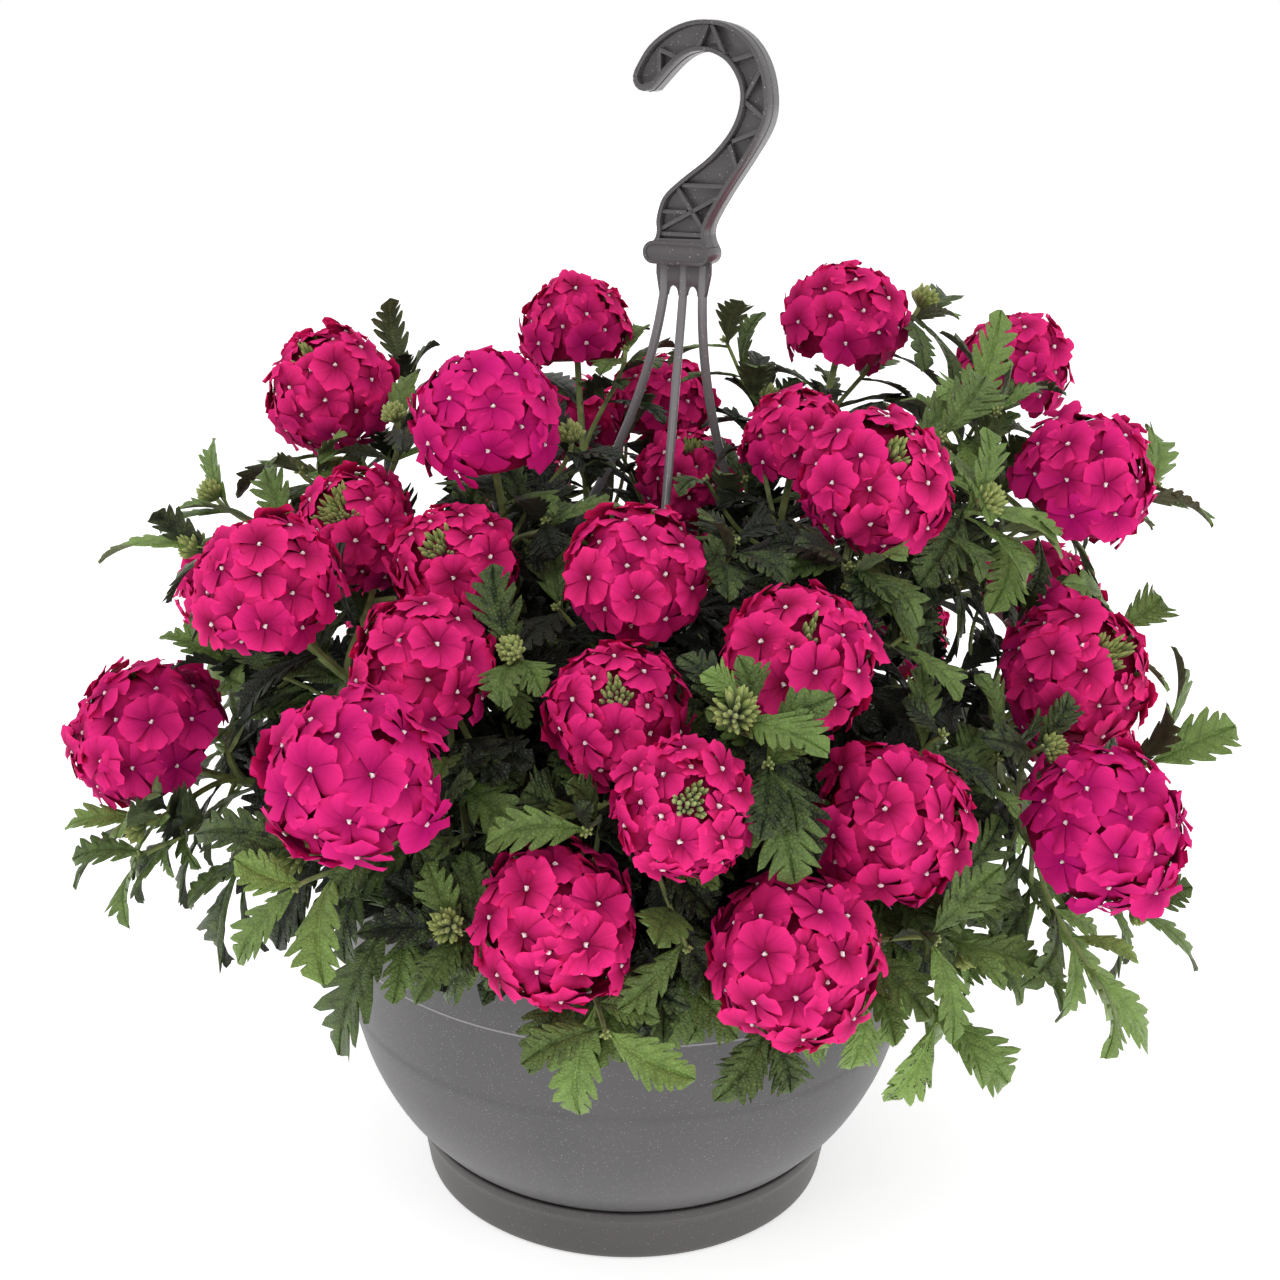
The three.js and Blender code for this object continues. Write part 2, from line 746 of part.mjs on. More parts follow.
// ---------- growing the plant ----------

const lastOf = (list) => list[list.length - 1];

// Where a shoot stands in the medium: towards its first head.
function holeOf({ heads: [[x, y, z]] }) {
  const spread = Math.hypot(x, y);
  const furthest = Math.min(holes.outer, spread * holes.mostOfHead);
  const wanted = holes.outer - holes.perHeight * (z - holes.fromHeight);
  const radius = THREE.MathUtils.clamp(wanted, holes.inner, furthest);
  return at((x * radius) / spread, (y * radius) / spread, medium.top);
}

// How far to one side, and how far forward, a stem bows in each attempt to pass what is in its way.
const sways = [[0, 0]];
for (const bow of [9, 18, 27, 38]) {
  for (let k = 0; k < 6; k++) {
    sways.push([bow * Math.cos((k * Math.PI) / 3), bow * Math.sin((k * Math.PI) / 3)]);
  }
}

// A stem on a smooth curve, in the first of its attempts that stands clear.
function growStem([from, lead, approach, to], { thick, thin, sides, sections }, owner) {
  const chord = to.clone().sub(from).normalize();
  const across = at(0.1, 0.2, 1).cross(chord).normalize();
  const other = chord.clone().cross(across);
  for (const [sideways, forward] of sways) {
    const bow = across.clone().multiplyScalar(sideways).addScaledVector(other, forward);
    const bent = approach.clone().addScaledVector(bow, 0.6);
    const points = curvePoints(from, lead.clone().add(bow), bent, to, sections);
    const roomy = stemSolid(points, thick + room.stem, thin + room.stem, sides);
    if (!clears(roomy, (seen) => seen === owner)) continue;
    return { points, solid: stemSolid(points, thick, thin, sides) };
  }
  return null;
}

// The stem of a flower head: from `from`, along `rise`, into the head's underside.
function headStem({ from, rise }, place, kind, owner) {
  const centre = at(...place);
  const axis = headAxis(place);
  const to = centre.clone().addScaledVector(axis, -(head.seatReach * place[3]) / 2 - head.stemGap);
  const far = from.distanceTo(to);
  const lead = from.clone().addScaledVector(rise, far * 0.36);
  const approach = to.clone().addScaledVector(axis, -far * 0.3);
  return growStem([from, lead, approach, to], kind, owner);
}

// A side stem, which ends the more upright the higher it reaches.
function twigStem({ from, rise }, place, owner) {
  const to = at(...place);
  const far = from.distanceTo(to);
  const steep = THREE.MathUtils.clamp((to.z - 180) / 80, -0.7, 2);
  const outward = at(to.x, to.y, 0).normalize().setZ(steep).normalize();
  const lead = from.clone().addScaledVector(rise, far * 0.3);
  const approach = to.clone().addScaledVector(outward, -far * 0.3);
  return growStem([from, lead, approach, to], twig, owner);
}

// The places on the flower stems where another stem may fork off.
function forksOf(stems) {
  return stems
    .filter(({ sprig }) => !sprig)
    .flatMap(({ points }) =>
      points.slice(1, -1).map((from, i) => ({ from, rise: points[i + 2].clone().sub(from).normalize() })));
}

// Every stem of a shoot: the first flower stem from the medium, the others from forks of it.
function growStems({ name, heads, twigs }, hole) {
  const stems = [];
  const fromHole = { from: hole, rise: at(0, 0, 1) };
  const firstOf = (forks, grow) => {
    for (const fork of forks) {
      const grown = grow(fork);
      if (grown) return grown;
    }
    throw new Error("no room for a stem of " + name);
  };
  for (const place of heads) {
    const [forks, kind] = stems.length ? [forksOf(stems).reverse(), branch] : [[fromHole], stem];
    const grown = firstOf(forks, (fork) => headStem(fork, place, kind, name));
    stems.push(grown);
  }
  for (const sprig of twigs) {
    const end = at(...sprig.end);
    const forks = forksOf(stems).sort((a, b) => a.from.distanceTo(end) - b.from.distanceTo(end));
    const grown = firstOf(forks, (fork) => twigStem(fork, sprig.end, name));
    stems.push({ ...grown, sprig });
  }
  return stems;
}

// The turns and shortenings that a leaf tries until it stands clear.
const leafTurns = [0, 1, -1, 2, -2, 3, -3, 4, -4];

function growLeaf(pose, isOwn) {
  for (const [attempt, swing] of leafTurns.entries()) {
    const reach = pose.tip.clone().sub(pose.base).multiplyScalar(1 - attempt * leaf.shorten);
    reach.applyAxisAngle(pose.turn, swing * leaf.turn);
    const moved = { base: pose.base, tip: pose.base.clone().add(reach), width: pose.width };
    if (clears(leafSolid(moved, room.leaf), isOwn)) return leafSolid(moved, 0);
  }
  return null;
}

// A leaf of a twig stands below its buds, a little further back than the leaf before.
function twigLeaf(points, bud, [x, y, z, width], place) {
  const end = lastOf(points);
  const back = points[points.length - 2].clone().sub(end).normalize();
  const base = end.clone().addScaledVector(back, twig.firstLeaf + bud * buds.size + twig.leafStep * place);
  const tip = at(x, y, z);
  const reach = tip.clone().sub(base);
  return { base, tip, width, turn: reach.clone().cross(at(0, 0, 1)).cross(reach).normalize() };
}

// ---------- assembly ----------

const greys = {
  bowl: { color: 0x6a686a, roughness: 0.5, metalness: 0.15 },
  saucer: { color: 0x5c5857, roughness: 0.5, metalness: 0.1 },
  hanger: { color: 0x4a4748, roughness: 0.45, metalness: 0 },
};
const peat = { color: 0x2b211b, roughness: 0.95, metalness: 0 };
const foliage = { color: 0x3f6b2e, roughness: 0.6, metalness: 0 };
const petals = { color: 0xe0186c, roughness: 0.65, metalness: 0 };

const hangerBody = hangerSolid();
addMesh("bowl", bowlSolid, greys.bowl);
addMesh("saucer", saucerSolid, greys.saucer);
addMesh("hanger", hangerBody, greys.hanger);
remember(bowlSolid, "bowl");
remember(saucerSolid, "saucer");
remember(hangerBody, "hanger");

// The heads have their places, and each stem and leaf after them passes what is there already.
const headSolids = shoots
  .flatMap(({ heads }) => heads)
  .map((place, i) => flowerHead(place, i + 1));
headSolids.forEach((solid, i) => remember(solid, "head " + i));

const grown = shoots.map((shoot) => {
  const hole = holeOf(shoot);
  const stems = growStems(shoot, hole);
  const footed = [hole.clone().setZ(hole.z - stem.foot), ...stems[0].points];
  stems[0].solid = stemSolid(footed, stem.thick, stem.thin, stem.sides);
  stems.forEach(({ solid }) => remember(solid, shoot.name));
  return { name: shoot.name, hole, stems, leaves: [] };
});

let mediumSolid = turned([
  [0, bowlFloor + gap],
  ...bowlInside.slice(1).reverse().map(([radius, height]) => [radius - medium.side, height + gap / 2]),
  [bowl.seamRadius - bowl.wall + 2.2, medium.top],
  [0, medium.top],
]);
for (const { hole } of grown) {
  const wide = stem.thick + medium.holeClearance;
  const tool = new THREE.CylinderGeometry(wide, wide, medium.holeDepth * 2, medium.holeSides);
  mediumSolid = mediumSolid.subtract(solidFrom(tool.rotateX(Math.PI / 2).translate(hole.x, hole.y, hole.z)));
}
addMesh("growing_medium", mediumSolid, peat);
remember(mediumSolid, "medium");

for (const { name, stems, leaves } of grown) {
  for (const { points, sprig } of stems) {
    sprig?.tips.forEach((tip, place) => {
      const mate = name + " leaf at " + sprig.end;
      const pose = twigLeaf(points, sprig.bud, tip, place);
      const solid = growLeaf(pose, (seen) => seen === name || seen === mate);
      if (!solid) return;
      leaves.push(solid);
      remember(solid, mate);
    });
  }
}

grown.forEach(({ name, stems, leaves }, i) => {
  const young = stems
    .filter(({ sprig }) => sprig?.bud)
    .map(({ points, sprig }, k) => budHead(lastOf(points), sprig.bud, (i + 1) * 100 + k));
  const whole = joinAll([...stems.map(({ solid }) => solid), ...young, ...leaves]);
  addMesh("shoot_" + name, mainBody(whole), foliage);
});
headSolids.forEach((solid, i) =>
  addMesh("flower_head_" + String(i + 1).padStart(2, "0"), solid, petals));

export default group;
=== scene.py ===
import json
import math
from functools import lru_cache, partial

import bmesh
import bpy
import numpy as np
from mathutils import Matrix, Vector, kdtree, noise
from mathutils.geometry import tessellate_polygon

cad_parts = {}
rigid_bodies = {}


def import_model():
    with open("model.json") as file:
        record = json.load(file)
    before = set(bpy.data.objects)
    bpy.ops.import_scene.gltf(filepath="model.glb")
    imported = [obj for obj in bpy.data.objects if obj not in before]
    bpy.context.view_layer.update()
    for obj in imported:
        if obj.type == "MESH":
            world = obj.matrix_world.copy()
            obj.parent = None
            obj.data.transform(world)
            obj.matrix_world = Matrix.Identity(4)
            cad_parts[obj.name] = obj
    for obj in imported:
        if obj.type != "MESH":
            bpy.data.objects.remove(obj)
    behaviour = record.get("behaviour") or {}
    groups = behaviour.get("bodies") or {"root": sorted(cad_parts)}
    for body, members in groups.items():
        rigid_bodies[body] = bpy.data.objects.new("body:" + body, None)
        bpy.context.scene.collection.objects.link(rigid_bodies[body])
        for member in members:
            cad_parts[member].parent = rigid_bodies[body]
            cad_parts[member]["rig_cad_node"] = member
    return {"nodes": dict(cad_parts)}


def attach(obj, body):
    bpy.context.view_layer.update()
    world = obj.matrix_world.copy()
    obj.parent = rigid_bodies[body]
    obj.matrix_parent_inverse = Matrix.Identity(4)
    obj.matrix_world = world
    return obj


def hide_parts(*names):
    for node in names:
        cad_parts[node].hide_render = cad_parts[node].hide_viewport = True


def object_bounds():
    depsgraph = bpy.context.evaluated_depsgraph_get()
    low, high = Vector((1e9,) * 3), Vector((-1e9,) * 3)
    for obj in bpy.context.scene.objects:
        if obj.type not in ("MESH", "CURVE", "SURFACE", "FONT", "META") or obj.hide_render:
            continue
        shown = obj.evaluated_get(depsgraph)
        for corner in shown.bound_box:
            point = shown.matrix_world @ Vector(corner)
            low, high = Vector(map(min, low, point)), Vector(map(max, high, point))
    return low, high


# A verbena in its hanging pot. Sizes are in millimetres until a piece becomes a mesh, in metres.
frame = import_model()
cadLow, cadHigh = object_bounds()
mm = 0.001
fullTurn = 2 * math.pi
goldenTurn = 2.399963
scene = bpy.context.scene
print("frame loaded:", len(frame["nodes"]), "nodes")

# Camera: at eye level with the crown, looking a little down.
cameraShape = {"place": (1.9, -700, 451), "down": 16.9, "roll": 1.27, "lens": 49.33, "sensor": 36}


def makeCamera():
    data = bpy.data.cameras.new("camera")
    data.lens = cameraShape["lens"]
    data.sensor_width = cameraShape["sensor"]
    data.clip_start, data.clip_end = 0.01, 50
    camera = addObject("camera", data)
    pitch = Matrix.Rotation(math.radians(90 - cameraShape["down"]), 4, "X")
    roll = Matrix.Rotation(math.radians(cameraShape["roll"]), 4, "Z")
    camera.matrix_world = Matrix.Translation(Vector(cameraShape["place"]) * mm) @ pitch @ roll
    scene.camera = camera


# Soft studio light: broad panels all round, the strongest from high in front.
studio = {
    "backdrop": 1.0,  # what shows beyond the table
    "fill": 0.82,  # light from all round
    "tableGlow": 0.5,
    "tableSize": 40,  # metres
    "panels": [  # place, size in metres, watts
        ((-1.3, -1.9, 2.1), 1.0, 12),
        ((1.7, -1.5, 1.6), 1.2, 7),
        ((0.0, 0.6, 2.6), 1.3, 6),
    ],
    "aim": (0, 0, 0.22),
}


def toLinear(hexColour):
    # an sRGB hex value to the linear colour that a shader wants
    shades = [int(hexColour[i : i + 2], 16) / 255 for i in (1, 3, 5)]
    return [s / 12.92 if s <= 0.04045 else ((s + 0.055) / 1.055) ** 2.4 for s in shades] + [1.0]


def addNode(tree, kind, settings=None, links=None):
    # one node with its settings, by socket or property, and the links into its sockets; a source is an output
    # or a node, whose first output is then meant
    node = tree.nodes.new("ShaderNode" + kind)
    for name, value in (settings or {}).items():
        if name == "stops":
            for place, _ in value[2:]:
                node.color_ramp.elements.new(place)
            for element, (place, colour) in zip(node.color_ramp.elements, value):
                element.position, element.color = place, toLinear(colour)
        elif isinstance(name, int) or name in node.inputs:
            node.inputs[name].default_value = value
        else:
            setattr(node, name, value)
    for name, source in (links or {}).items():
        tree.links.new(source.outputs[0] if isinstance(source, bpy.types.Node) else source, node.inputs[name])
    return node


def startMaterial(name, settings):
    # a material, what adds a node to it, and its shader with these settings
    material = bpy.data.materials.new(name)
    material.use_nodes = True
    shader = material.node_tree.nodes["Principled BSDF"]
    for socket, value in settings.items():
        shader.inputs[socket].default_value = value
    return material, partial(addNode, material.node_tree), shader


def finishMaterial(material, shader, colour, height=None, strength=0.0, depth=0.0):
    # joins the colour, and a fine relief so many millimetres deep, to the shader
    links = material.node_tree.links
    links.new(colour, shader.inputs["Base Color"])
    if height:
        settings = {"Strength": strength, "Distance": depth * mm}
        relief = addNode(material.node_tree, "Bump", settings, {"Height": height})
        links.new(relief.outputs["Normal"], shader.inputs["Normal"])
    return material


def addObject(name, data):
    made = bpy.data.objects.new(name, data)
    scene.collection.objects.link(made)
    return made


def setStudio():
    scene.view_settings.view_transform = "Standard"
    scene.world = bpy.data.worlds.new("softSky")
    scene.world.use_nodes = True
    tree = scene.world.node_tree
    white = {"Color": (1, 1, 1, 1)}
    fill = addNode(tree, "Background", white | {"Strength": studio["fill"]})
    backdrop = addNode(tree, "Background", white | {"Strength": studio["backdrop"]})
    seen = addNode(tree, "LightPath").outputs["Is Camera Ray"]
    both = addNode(tree, "MixShader", {}, {0: seen, 1: fill, 2: backdrop})
    tree.links.new(both.outputs[0], tree.nodes["World Output"].inputs["Surface"])
    for i, (place, size, watts) in enumerate(studio["panels"]):
        data = bpy.data.lights.new("panel%d" % i, "AREA")
        data.shape, data.size, data.energy = "DISK", size, watts
        away = Vector(place) - Vector(studio["aim"])
        turn = away.to_track_quat("Z", "Y").to_matrix().to_4x4()
        addObject("panel%d" % i, data).matrix_world = Matrix.Translation(place) @ turn


def makeFloor():
    # a white acrylic table lit from below: even and pale, so that shadows on it stay light
    half = studio["tableSize"] / 2
    mesh = bpy.data.meshes.new("studioFloor")
    corners = [(x * half, y * half, 0) for x, y in ((-1, -1), (1, -1), (1, 1), (-1, 1))]
    mesh.from_pydata(corners, [], [(0, 1, 2, 3)])
    settings = {"Roughness": 0.6, "IOR": 1.49, "Specular IOR Level": 0.1}
    settings |= {"Emission Color": (1, 1, 1, 1), "Emission Strength": studio["tableGlow"]}
    material, add, shader = startMaterial("litWhiteAcrylic", settings)
    cloud = add("TexNoise", {"Scale": 3.0}, {"Vector": add("TexCoord").outputs["Object"]})
    tone = add("ValToRGB", {"stops": [(0.3, "#FAFAFA"), (0.7, "#FDFDFD")]}, {"Fac": cloud})
    mesh.materials.append(finishMaterial(material, shader, tone.outputs["Color"]))
    addObject("studioFloor", mesh)


makeCamera()
setStudio()
makeFloor()
print("camera, light and floor set")


# Moulded polypropylene: a satin skin with sparse bright mineral specks, and a painted highlight where tone is
# above 0: lighter colour along the bowl's seam line.
def mouldedPolypropylene(name, base, deep, speckColour, speckGap, roughness):
    material, add, shader = startMaterial(name, {"IOR": 1.49, "Roughness": roughness})
    where = {"Vector": add("TexCoord").outputs["Object"]}
    cloud = add("TexNoise", {"Scale": 14.0, "Detail": 3.0}, where)
    grain = add("TexNoise", {"Scale": 1 / (0.5 * mm), "Detail": 2.0}, where)  # the mould's fine grain, 0.5 mm
    speck = add("TexVoronoi", {"Scale": 1 / (speckGap * mm)}, where)
    paintedHighlightBand = add("Attribute", {"attribute_name": "tone"})
    shade = add("Math", {"operation": "MULTIPLY_ADD", 1: 0.45}, {0: grain, 2: cloud})
    tone = add("ValToRGB", {"stops": [(0.5, deep), (0.95, base)]}, {"Fac": shade})
    near = add("MapRange", {"From Min": 0.2, "From Max": 0.1}, {"Value": speck.outputs["Distance"]})
    picked = add("MapRange", {"From Min": 0.25, "From Max": 0.95}, {"Value": speck.outputs["Color"]})
    # the real specks, plus the painted highlight along the bowl's seam
    specksAndPaintedHighlight = add("Math", {"operation": "MULTIPLY_ADD"}, {0: near, 1: picked, 2: paintedHighlightBand.outputs["Fac"]})
    specked = add("Mix", {"data_type": "RGBA", 7: toLinear(speckColour)}, {0: specksAndPaintedHighlight, 6: tone})
    return finishMaterial(material, shader, specked.outputs[2], grain, 0.12, 0.2)


def woodyPeat():
    # milled peat: matt, near black when damp, with lighter fibres
    material, add, shader = startMaterial("milledPeat", {"Roughness": 0.95, "IOR": 1.4})
    crumb = add("TexNoise", {"Scale": 420.0, "Detail": 5.0}, {"Vector": add("TexCoord").outputs["Object"]})
    ramp = [(0.35, "#15100C"), (0.75, "#4A382A"), (0.55, "#2B211B")]
    tone = add("ValToRGB", {"stops": ramp}, {"Fac": crumb})
    return finishMaterial(material, shader, tone.outputs["Color"], crumb, 0.9, 1.5)


def petalTissue():
    # petal: velvety and matt, deep rose at the throat and pinker at the rim, with faint lengthwise streaks;
    # the darkest crimson close round the eye is painted shade in the throat
    settings = {"Roughness": 0.65, "IOR": 1.36, "Specular IOR Level": 0.05}
    material, add, shader = startMaterial("verbenaPetal", settings)
    reach, tone = (add("Attribute", {"attribute_name": name}).outputs["Fac"] for name in ("reach", "tone"))
    place = add("Attribute", {"attribute_name": "place"}).outputs["Vector"]  # in mm on the flat petal
    stretch = add("VectorMath", {"operation": "MULTIPLY", 1: (0.14, 1.2, 1.0)}, {0: place})
    streak = add("TexNoise", {"Scale": 1.0, "Detail": 3.0}, {"Vector": stretch})
    blush = add("TexNoise", {"Scale": 0.11, "Detail": 1.0}, {"Vector": place})
    wobble = add("Math", {"operation": "MULTIPLY_ADD", 1: 0.36, 2: -0.18}, {0: streak})
    inward = add("Math", {"operation": "ADD"}, {0: reach, 1: wobble})
    # the stops below 0.18, close round the eye, darken into painted shade in the throat
    ramp = [(0.04, "#640420"), (1.0, "#F43282"), (0.09, "#B00838"), (0.18, "#F60A4A"), (0.86, "#F80C54")]
    rose = add("ValToRGB", {"stops": ramp}, {"Fac": inward})
    # tone: the violet of cooler heads, plus painted shade on florets that face away from the head's top
    cooler = add("Math", {"operation": "MULTIPLY_ADD", 1: 0.4, 2: -0.2}, {0: blush})
    share = add("Math", {"operation": "ADD", "use_clamp": True}, {0: cooler, 1: tone})
    violet = add("Mix", {"data_type": "RGBA", 7: toLinear("#C4127C")}, {0: share, 6: rose})
    return finishMaterial(material, shader, violet.outputs[2], streak, 0.4, 0.4)


def plainTissue(name, light, dark, grain, roughness, sheen=0.2, tipColour=None):
    # living tissue: two shades of one colour in soft patches, under a bloom of fine hair
    settings = {"Roughness": roughness, "IOR": 1.4, "Sheen Weight": sheen, "Sheen Roughness": 0.4}
    material, add, shader = startMaterial(name, settings)
    where = {"Vector": add("TexCoord").outputs["Object"]}
    reach = add("Attribute", {"attribute_name": "reach"}).outputs["Fac"]
    patch = add("TexNoise", {"Scale": 1 / (grain * mm), "Detail": 3.0}, where)
    tone = add("ValToRGB", {"stops": [(0.32, dark), (0.68, light)]}, {"Fac": patch})
    ended = add("Mix", {"data_type": "RGBA", 7: toLinear(tipColour or light)}, {0: reach, 6: tone})
    return finishMaterial(material, shader, ended.outputs[2], patch, 0.3, 0.3)


def leafTissue(name, deep, middle, fresh, veinColour, roughness):
    # leaf: quilted between sunken side veins, with painted shade along them and along the fine net of small
    # veins, a thin paler midrib and a dull grey bloom
    settings = {"Roughness": roughness, "IOR": 1.42, "Specular IOR Level": 0.4}
    settings |= {"Sheen Weight": 0.06, "Sheen Roughness": 0.45, "Sheen Tint": toLinear("#C8D8C0")}
    material, add, shader = startMaterial(name, settings)
    vein, tone = (add("Attribute", {"attribute_name": value}).outputs["Fac"] for value in ("reach", "tone"))
    # the patterns lie in mm on the flat leaf
    where = {"Vector": add("Attribute", {"attribute_name": "place"}).outputs["Vector"]}
    patch = add("TexNoise", {"Scale": 0.2, "Detail": 4.0}, where)
    netSize = 1.4  # mm across one mesh of the small veins
    net = add("TexVoronoi", {"Scale": 1 / netSize, "feature": "DISTANCE_TO_EDGE"}, where)
    hollow = add("MapRange", {"From Max": 0.2}, {"Value": net})
    besideVein = {"From Min": 0.3, "From Max": 0.58, "To Min": 1.0, "To Max": 0.0}
    groove = add("MapRange", besideVein, {"Value": vein})
    shade = add("Math", {"operation": "MULTIPLY_ADD", 1: 0.44}, {0: patch, 2: tone})
    # painted shade: the colour darkens along the side veins and the net of small veins, where their grooves
    # would lie in shade; the same grooves also go into the relief
    paintedVeinShade = add("Math", {"operation": "MULTIPLY_ADD", 1: 0.08}, {0: groove, 2: shade})
    veined = add("Math", {"operation": "MULTIPLY_ADD", 1: 0.08}, {0: hollow, 2: paintedVeinShade})
    green = add("ValToRGB", {"stops": [(0.12, deep), (1.0, fresh), (0.55, middle)]}, {"Fac": veined})
    line = add("MapRange", {"From Min": 0.85, "From Max": 0.96}, {"Value": vein})
    paler = {"data_type": "RGBA", "blend_type": "DODGE", 7: toLinear(veinColour)}
    ribbed = add("Mix", paler, {0: line, 6: green})
    height = add("Math", {"operation": "MULTIPLY_ADD", 1: 1.6}, {0: groove, 2: hollow})
    return finishMaterial(material, shader, ribbed.outputs[2], height, 0.6, 0.4)


# polypropylene: base, deep and speck colour, mm between specks, roughness; leaf: deep, middle, fresh and vein
# colour, roughness; other tissue: light and dark colour, mm of a patch, roughness, sheen and tip colour
finishes = {
    "bowl": mouldedPolypropylene("speckledGreyPolypropylene", "#5A585A", "#4F4E4F", "#CCC9CD", 0.95, 0.42),
    "saucer": mouldedPolypropylene("darkGreyPolypropylene", "#53504F", "#4A4746", "#8F8C8B", 1.5, 0.45),
    "hanger": mouldedPolypropylene("charcoalPolypropylene", "#575455", "#4A4748", "#B8B5B6", 1.5, 0.26),
    # the legs: the hanger's own grey plastic painted lighter, a painted highlight on their rounded sides
    "leg": mouldedPolypropylene("paintedHighlightGreyPolypropylene", "#7E7C7D", "#737172", "#B8B5B6", 1.5, 0.2),
    "peat": woodyPeat(),
    "petal": petalTissue(),
    "eye": plainTissue("waxyThroat", "#FFF2EE", "#F4C8D2", 0.8, 0.5),
    "calyx": plainTissue("hairyCalyx", "#6F8A3F", "#4F6B30", 2.0, 0.6),
    # the deep colour is what leaves in the heart of the plant reach: painted shade
    "leaf": leafTissue("leafUpperSkin", "#0E1608", "#394A23", "#8EAE58", "#8E9280", 0.4),
    "underleaf": leafTissue("leafUnderside", "#161D10", "#4A5834", "#889A64", "#8E9280", 0.6),
    "stem": plainTissue("hairyStem", "#8C9A58", "#647240", 5.0, 0.55, 0.3),
    "bud": plainTissue("budSkin", "#5C7436", "#3E5026", 1.6, 0.6, 0.3, "#A8B268"),
    "hair": plainTissue("stemHair", "#C8D4B0", "#A8BC8C", 4.0, 0.6),
}


class Piece:
    # gathers patches of triangles in millimetres, and makes them one mesh

    def __init__(self, name, finishNames):
        self.name = name
        self.finishNames = finishNames
        self.points, self.faces, self.finish, self.layout = [], [], [], []
        self.values = {"reach": [], "tone": [], "place": []}
        self.count = 0

    def add(self, points, patches, reach=0.0, tone=0.0, place=None):
        # patches: triangles into these points, their finish, and where each point lies when laid flat
        points = np.asarray(points, float)
        size = len(points)
        self.points.append(points)
        self.values["reach"].append(np.broadcast_to(reach, size))
        self.values["tone"].append(np.broadcast_to(tone, size))
        self.values["place"].append(points if place is None else place)
        for triangles, finish, flat in patches:
            triangles = np.asarray(triangles)
            self.faces.append(triangles + self.count)
            self.finish.append(np.full(len(triangles), self.finishNames.index(finish)))
            self.layout.append(np.asarray(flat, float)[triangles].reshape(-1, 2))
        self.count += size

    def laidOut(self):
        # the flat patches side by side in rows, so that no two share a place
        gap, spare = 0.4, 1.08  # mm between patches, and the sheet's width over that of a full square
        corners = [patch.min(0) for patch in self.layout]
        sizes = [patch.max(0) - low + gap for patch, low in zip(self.layout, corners)]
        wide = math.sqrt(sum(w * h for w, h in sizes)) * spare
        order = sorted(range(len(sizes)), key=lambda i: -sizes[i][1])
        x = y = row = 0
        places = [None] * len(sizes)
        for i in order:
            w, h = sizes[i]
            if x and x + w > wide:
                x, y, row = 0, y + row, 0
            places[i] = np.array((x, y))
            x, row = x + w, max(row, h)
        moved = [patch - low + gap / 2 + at for patch, low, at in zip(self.layout, corners, places)]
        whole = np.concatenate(moved)
        return whole / (whole.max() + gap / 2)

    def make(self, smoothBelow=50):
        points, faces = np.concatenate(self.points), np.concatenate(self.faces)
        mesh = bpy.data.meshes.new(self.name)
        mesh.vertices.add(len(points))
        mesh.vertices.foreach_set("co", (points * mm).ravel())
        mesh.loops.add(faces.size)
        mesh.loops.foreach_set("vertex_index", faces.ravel())
        mesh.polygons.add(len(faces))
        mesh.polygons.foreach_set("loop_start", np.arange(0, faces.size, 3))
        for name in self.finishNames:
            mesh.materials.append(finishes[name])
        mesh.polygons.foreach_set("material_index", np.concatenate(self.finish))
        mesh.polygons.foreach_set("use_smooth", np.ones(len(faces), bool))
        flat = mesh.uv_layers.new(name="OFBake")
        flat.data.foreach_set("uv", self.laidOut().ravel())
        for name in ("reach", "tone"):
            values = mesh.attributes.new(name, "FLOAT", "POINT")
            values.data.foreach_set("value", np.concatenate(self.values[name]))
        place = mesh.attributes.new("place", "FLOAT_VECTOR", "POINT")
        place.data.foreach_set("vector", np.concatenate(self.values["place"]).ravel())
        mesh.update(calc_edges=True)
        mesh.validate()
        mesh.set_sharp_from_angle(angle=math.radians(smoothBelow))
        return addObject(self.name, mesh)


def settle(piece, node):
    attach(piece, "root")
    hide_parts(node)


def unit(vector):
    vector = np.asarray(vector, float)
    return vector / np.linalg.norm(vector)


def stepsOf(points):
    return np.linalg.norm(np.diff(points, axis=0), axis=1)


def acrossFrom(axis, hint):
    # two ways at right angles to an axis, and to each other
    side = unit(np.cross(hint, axis))
    return side, np.cross(axis, side)


def smoothLine(points, steps):
    # a curve through these points, sampled evenly in steps
    points = np.asarray(points, float)
    last = len(points) - 1
    line = []
    for i in range(steps + 1):
        place = i / steps * last
        k = min(int(place), last - 1)
        w = place - k
        p0, p1, p2, p3 = (points[min(max(k + j, 0), last)] for j in (-1, 0, 1, 2))
        v1, v2 = (p2 - p0) / 2, (p3 - p1) / 2
        a = 2 * p1 - 2 * p2 + v1 + v2
        b = -3 * p1 + 3 * p2 - 2 * v1 - v2
        line.append(a * w**3 + b * w**2 + v1 * w + p1)
    return np.array(line)


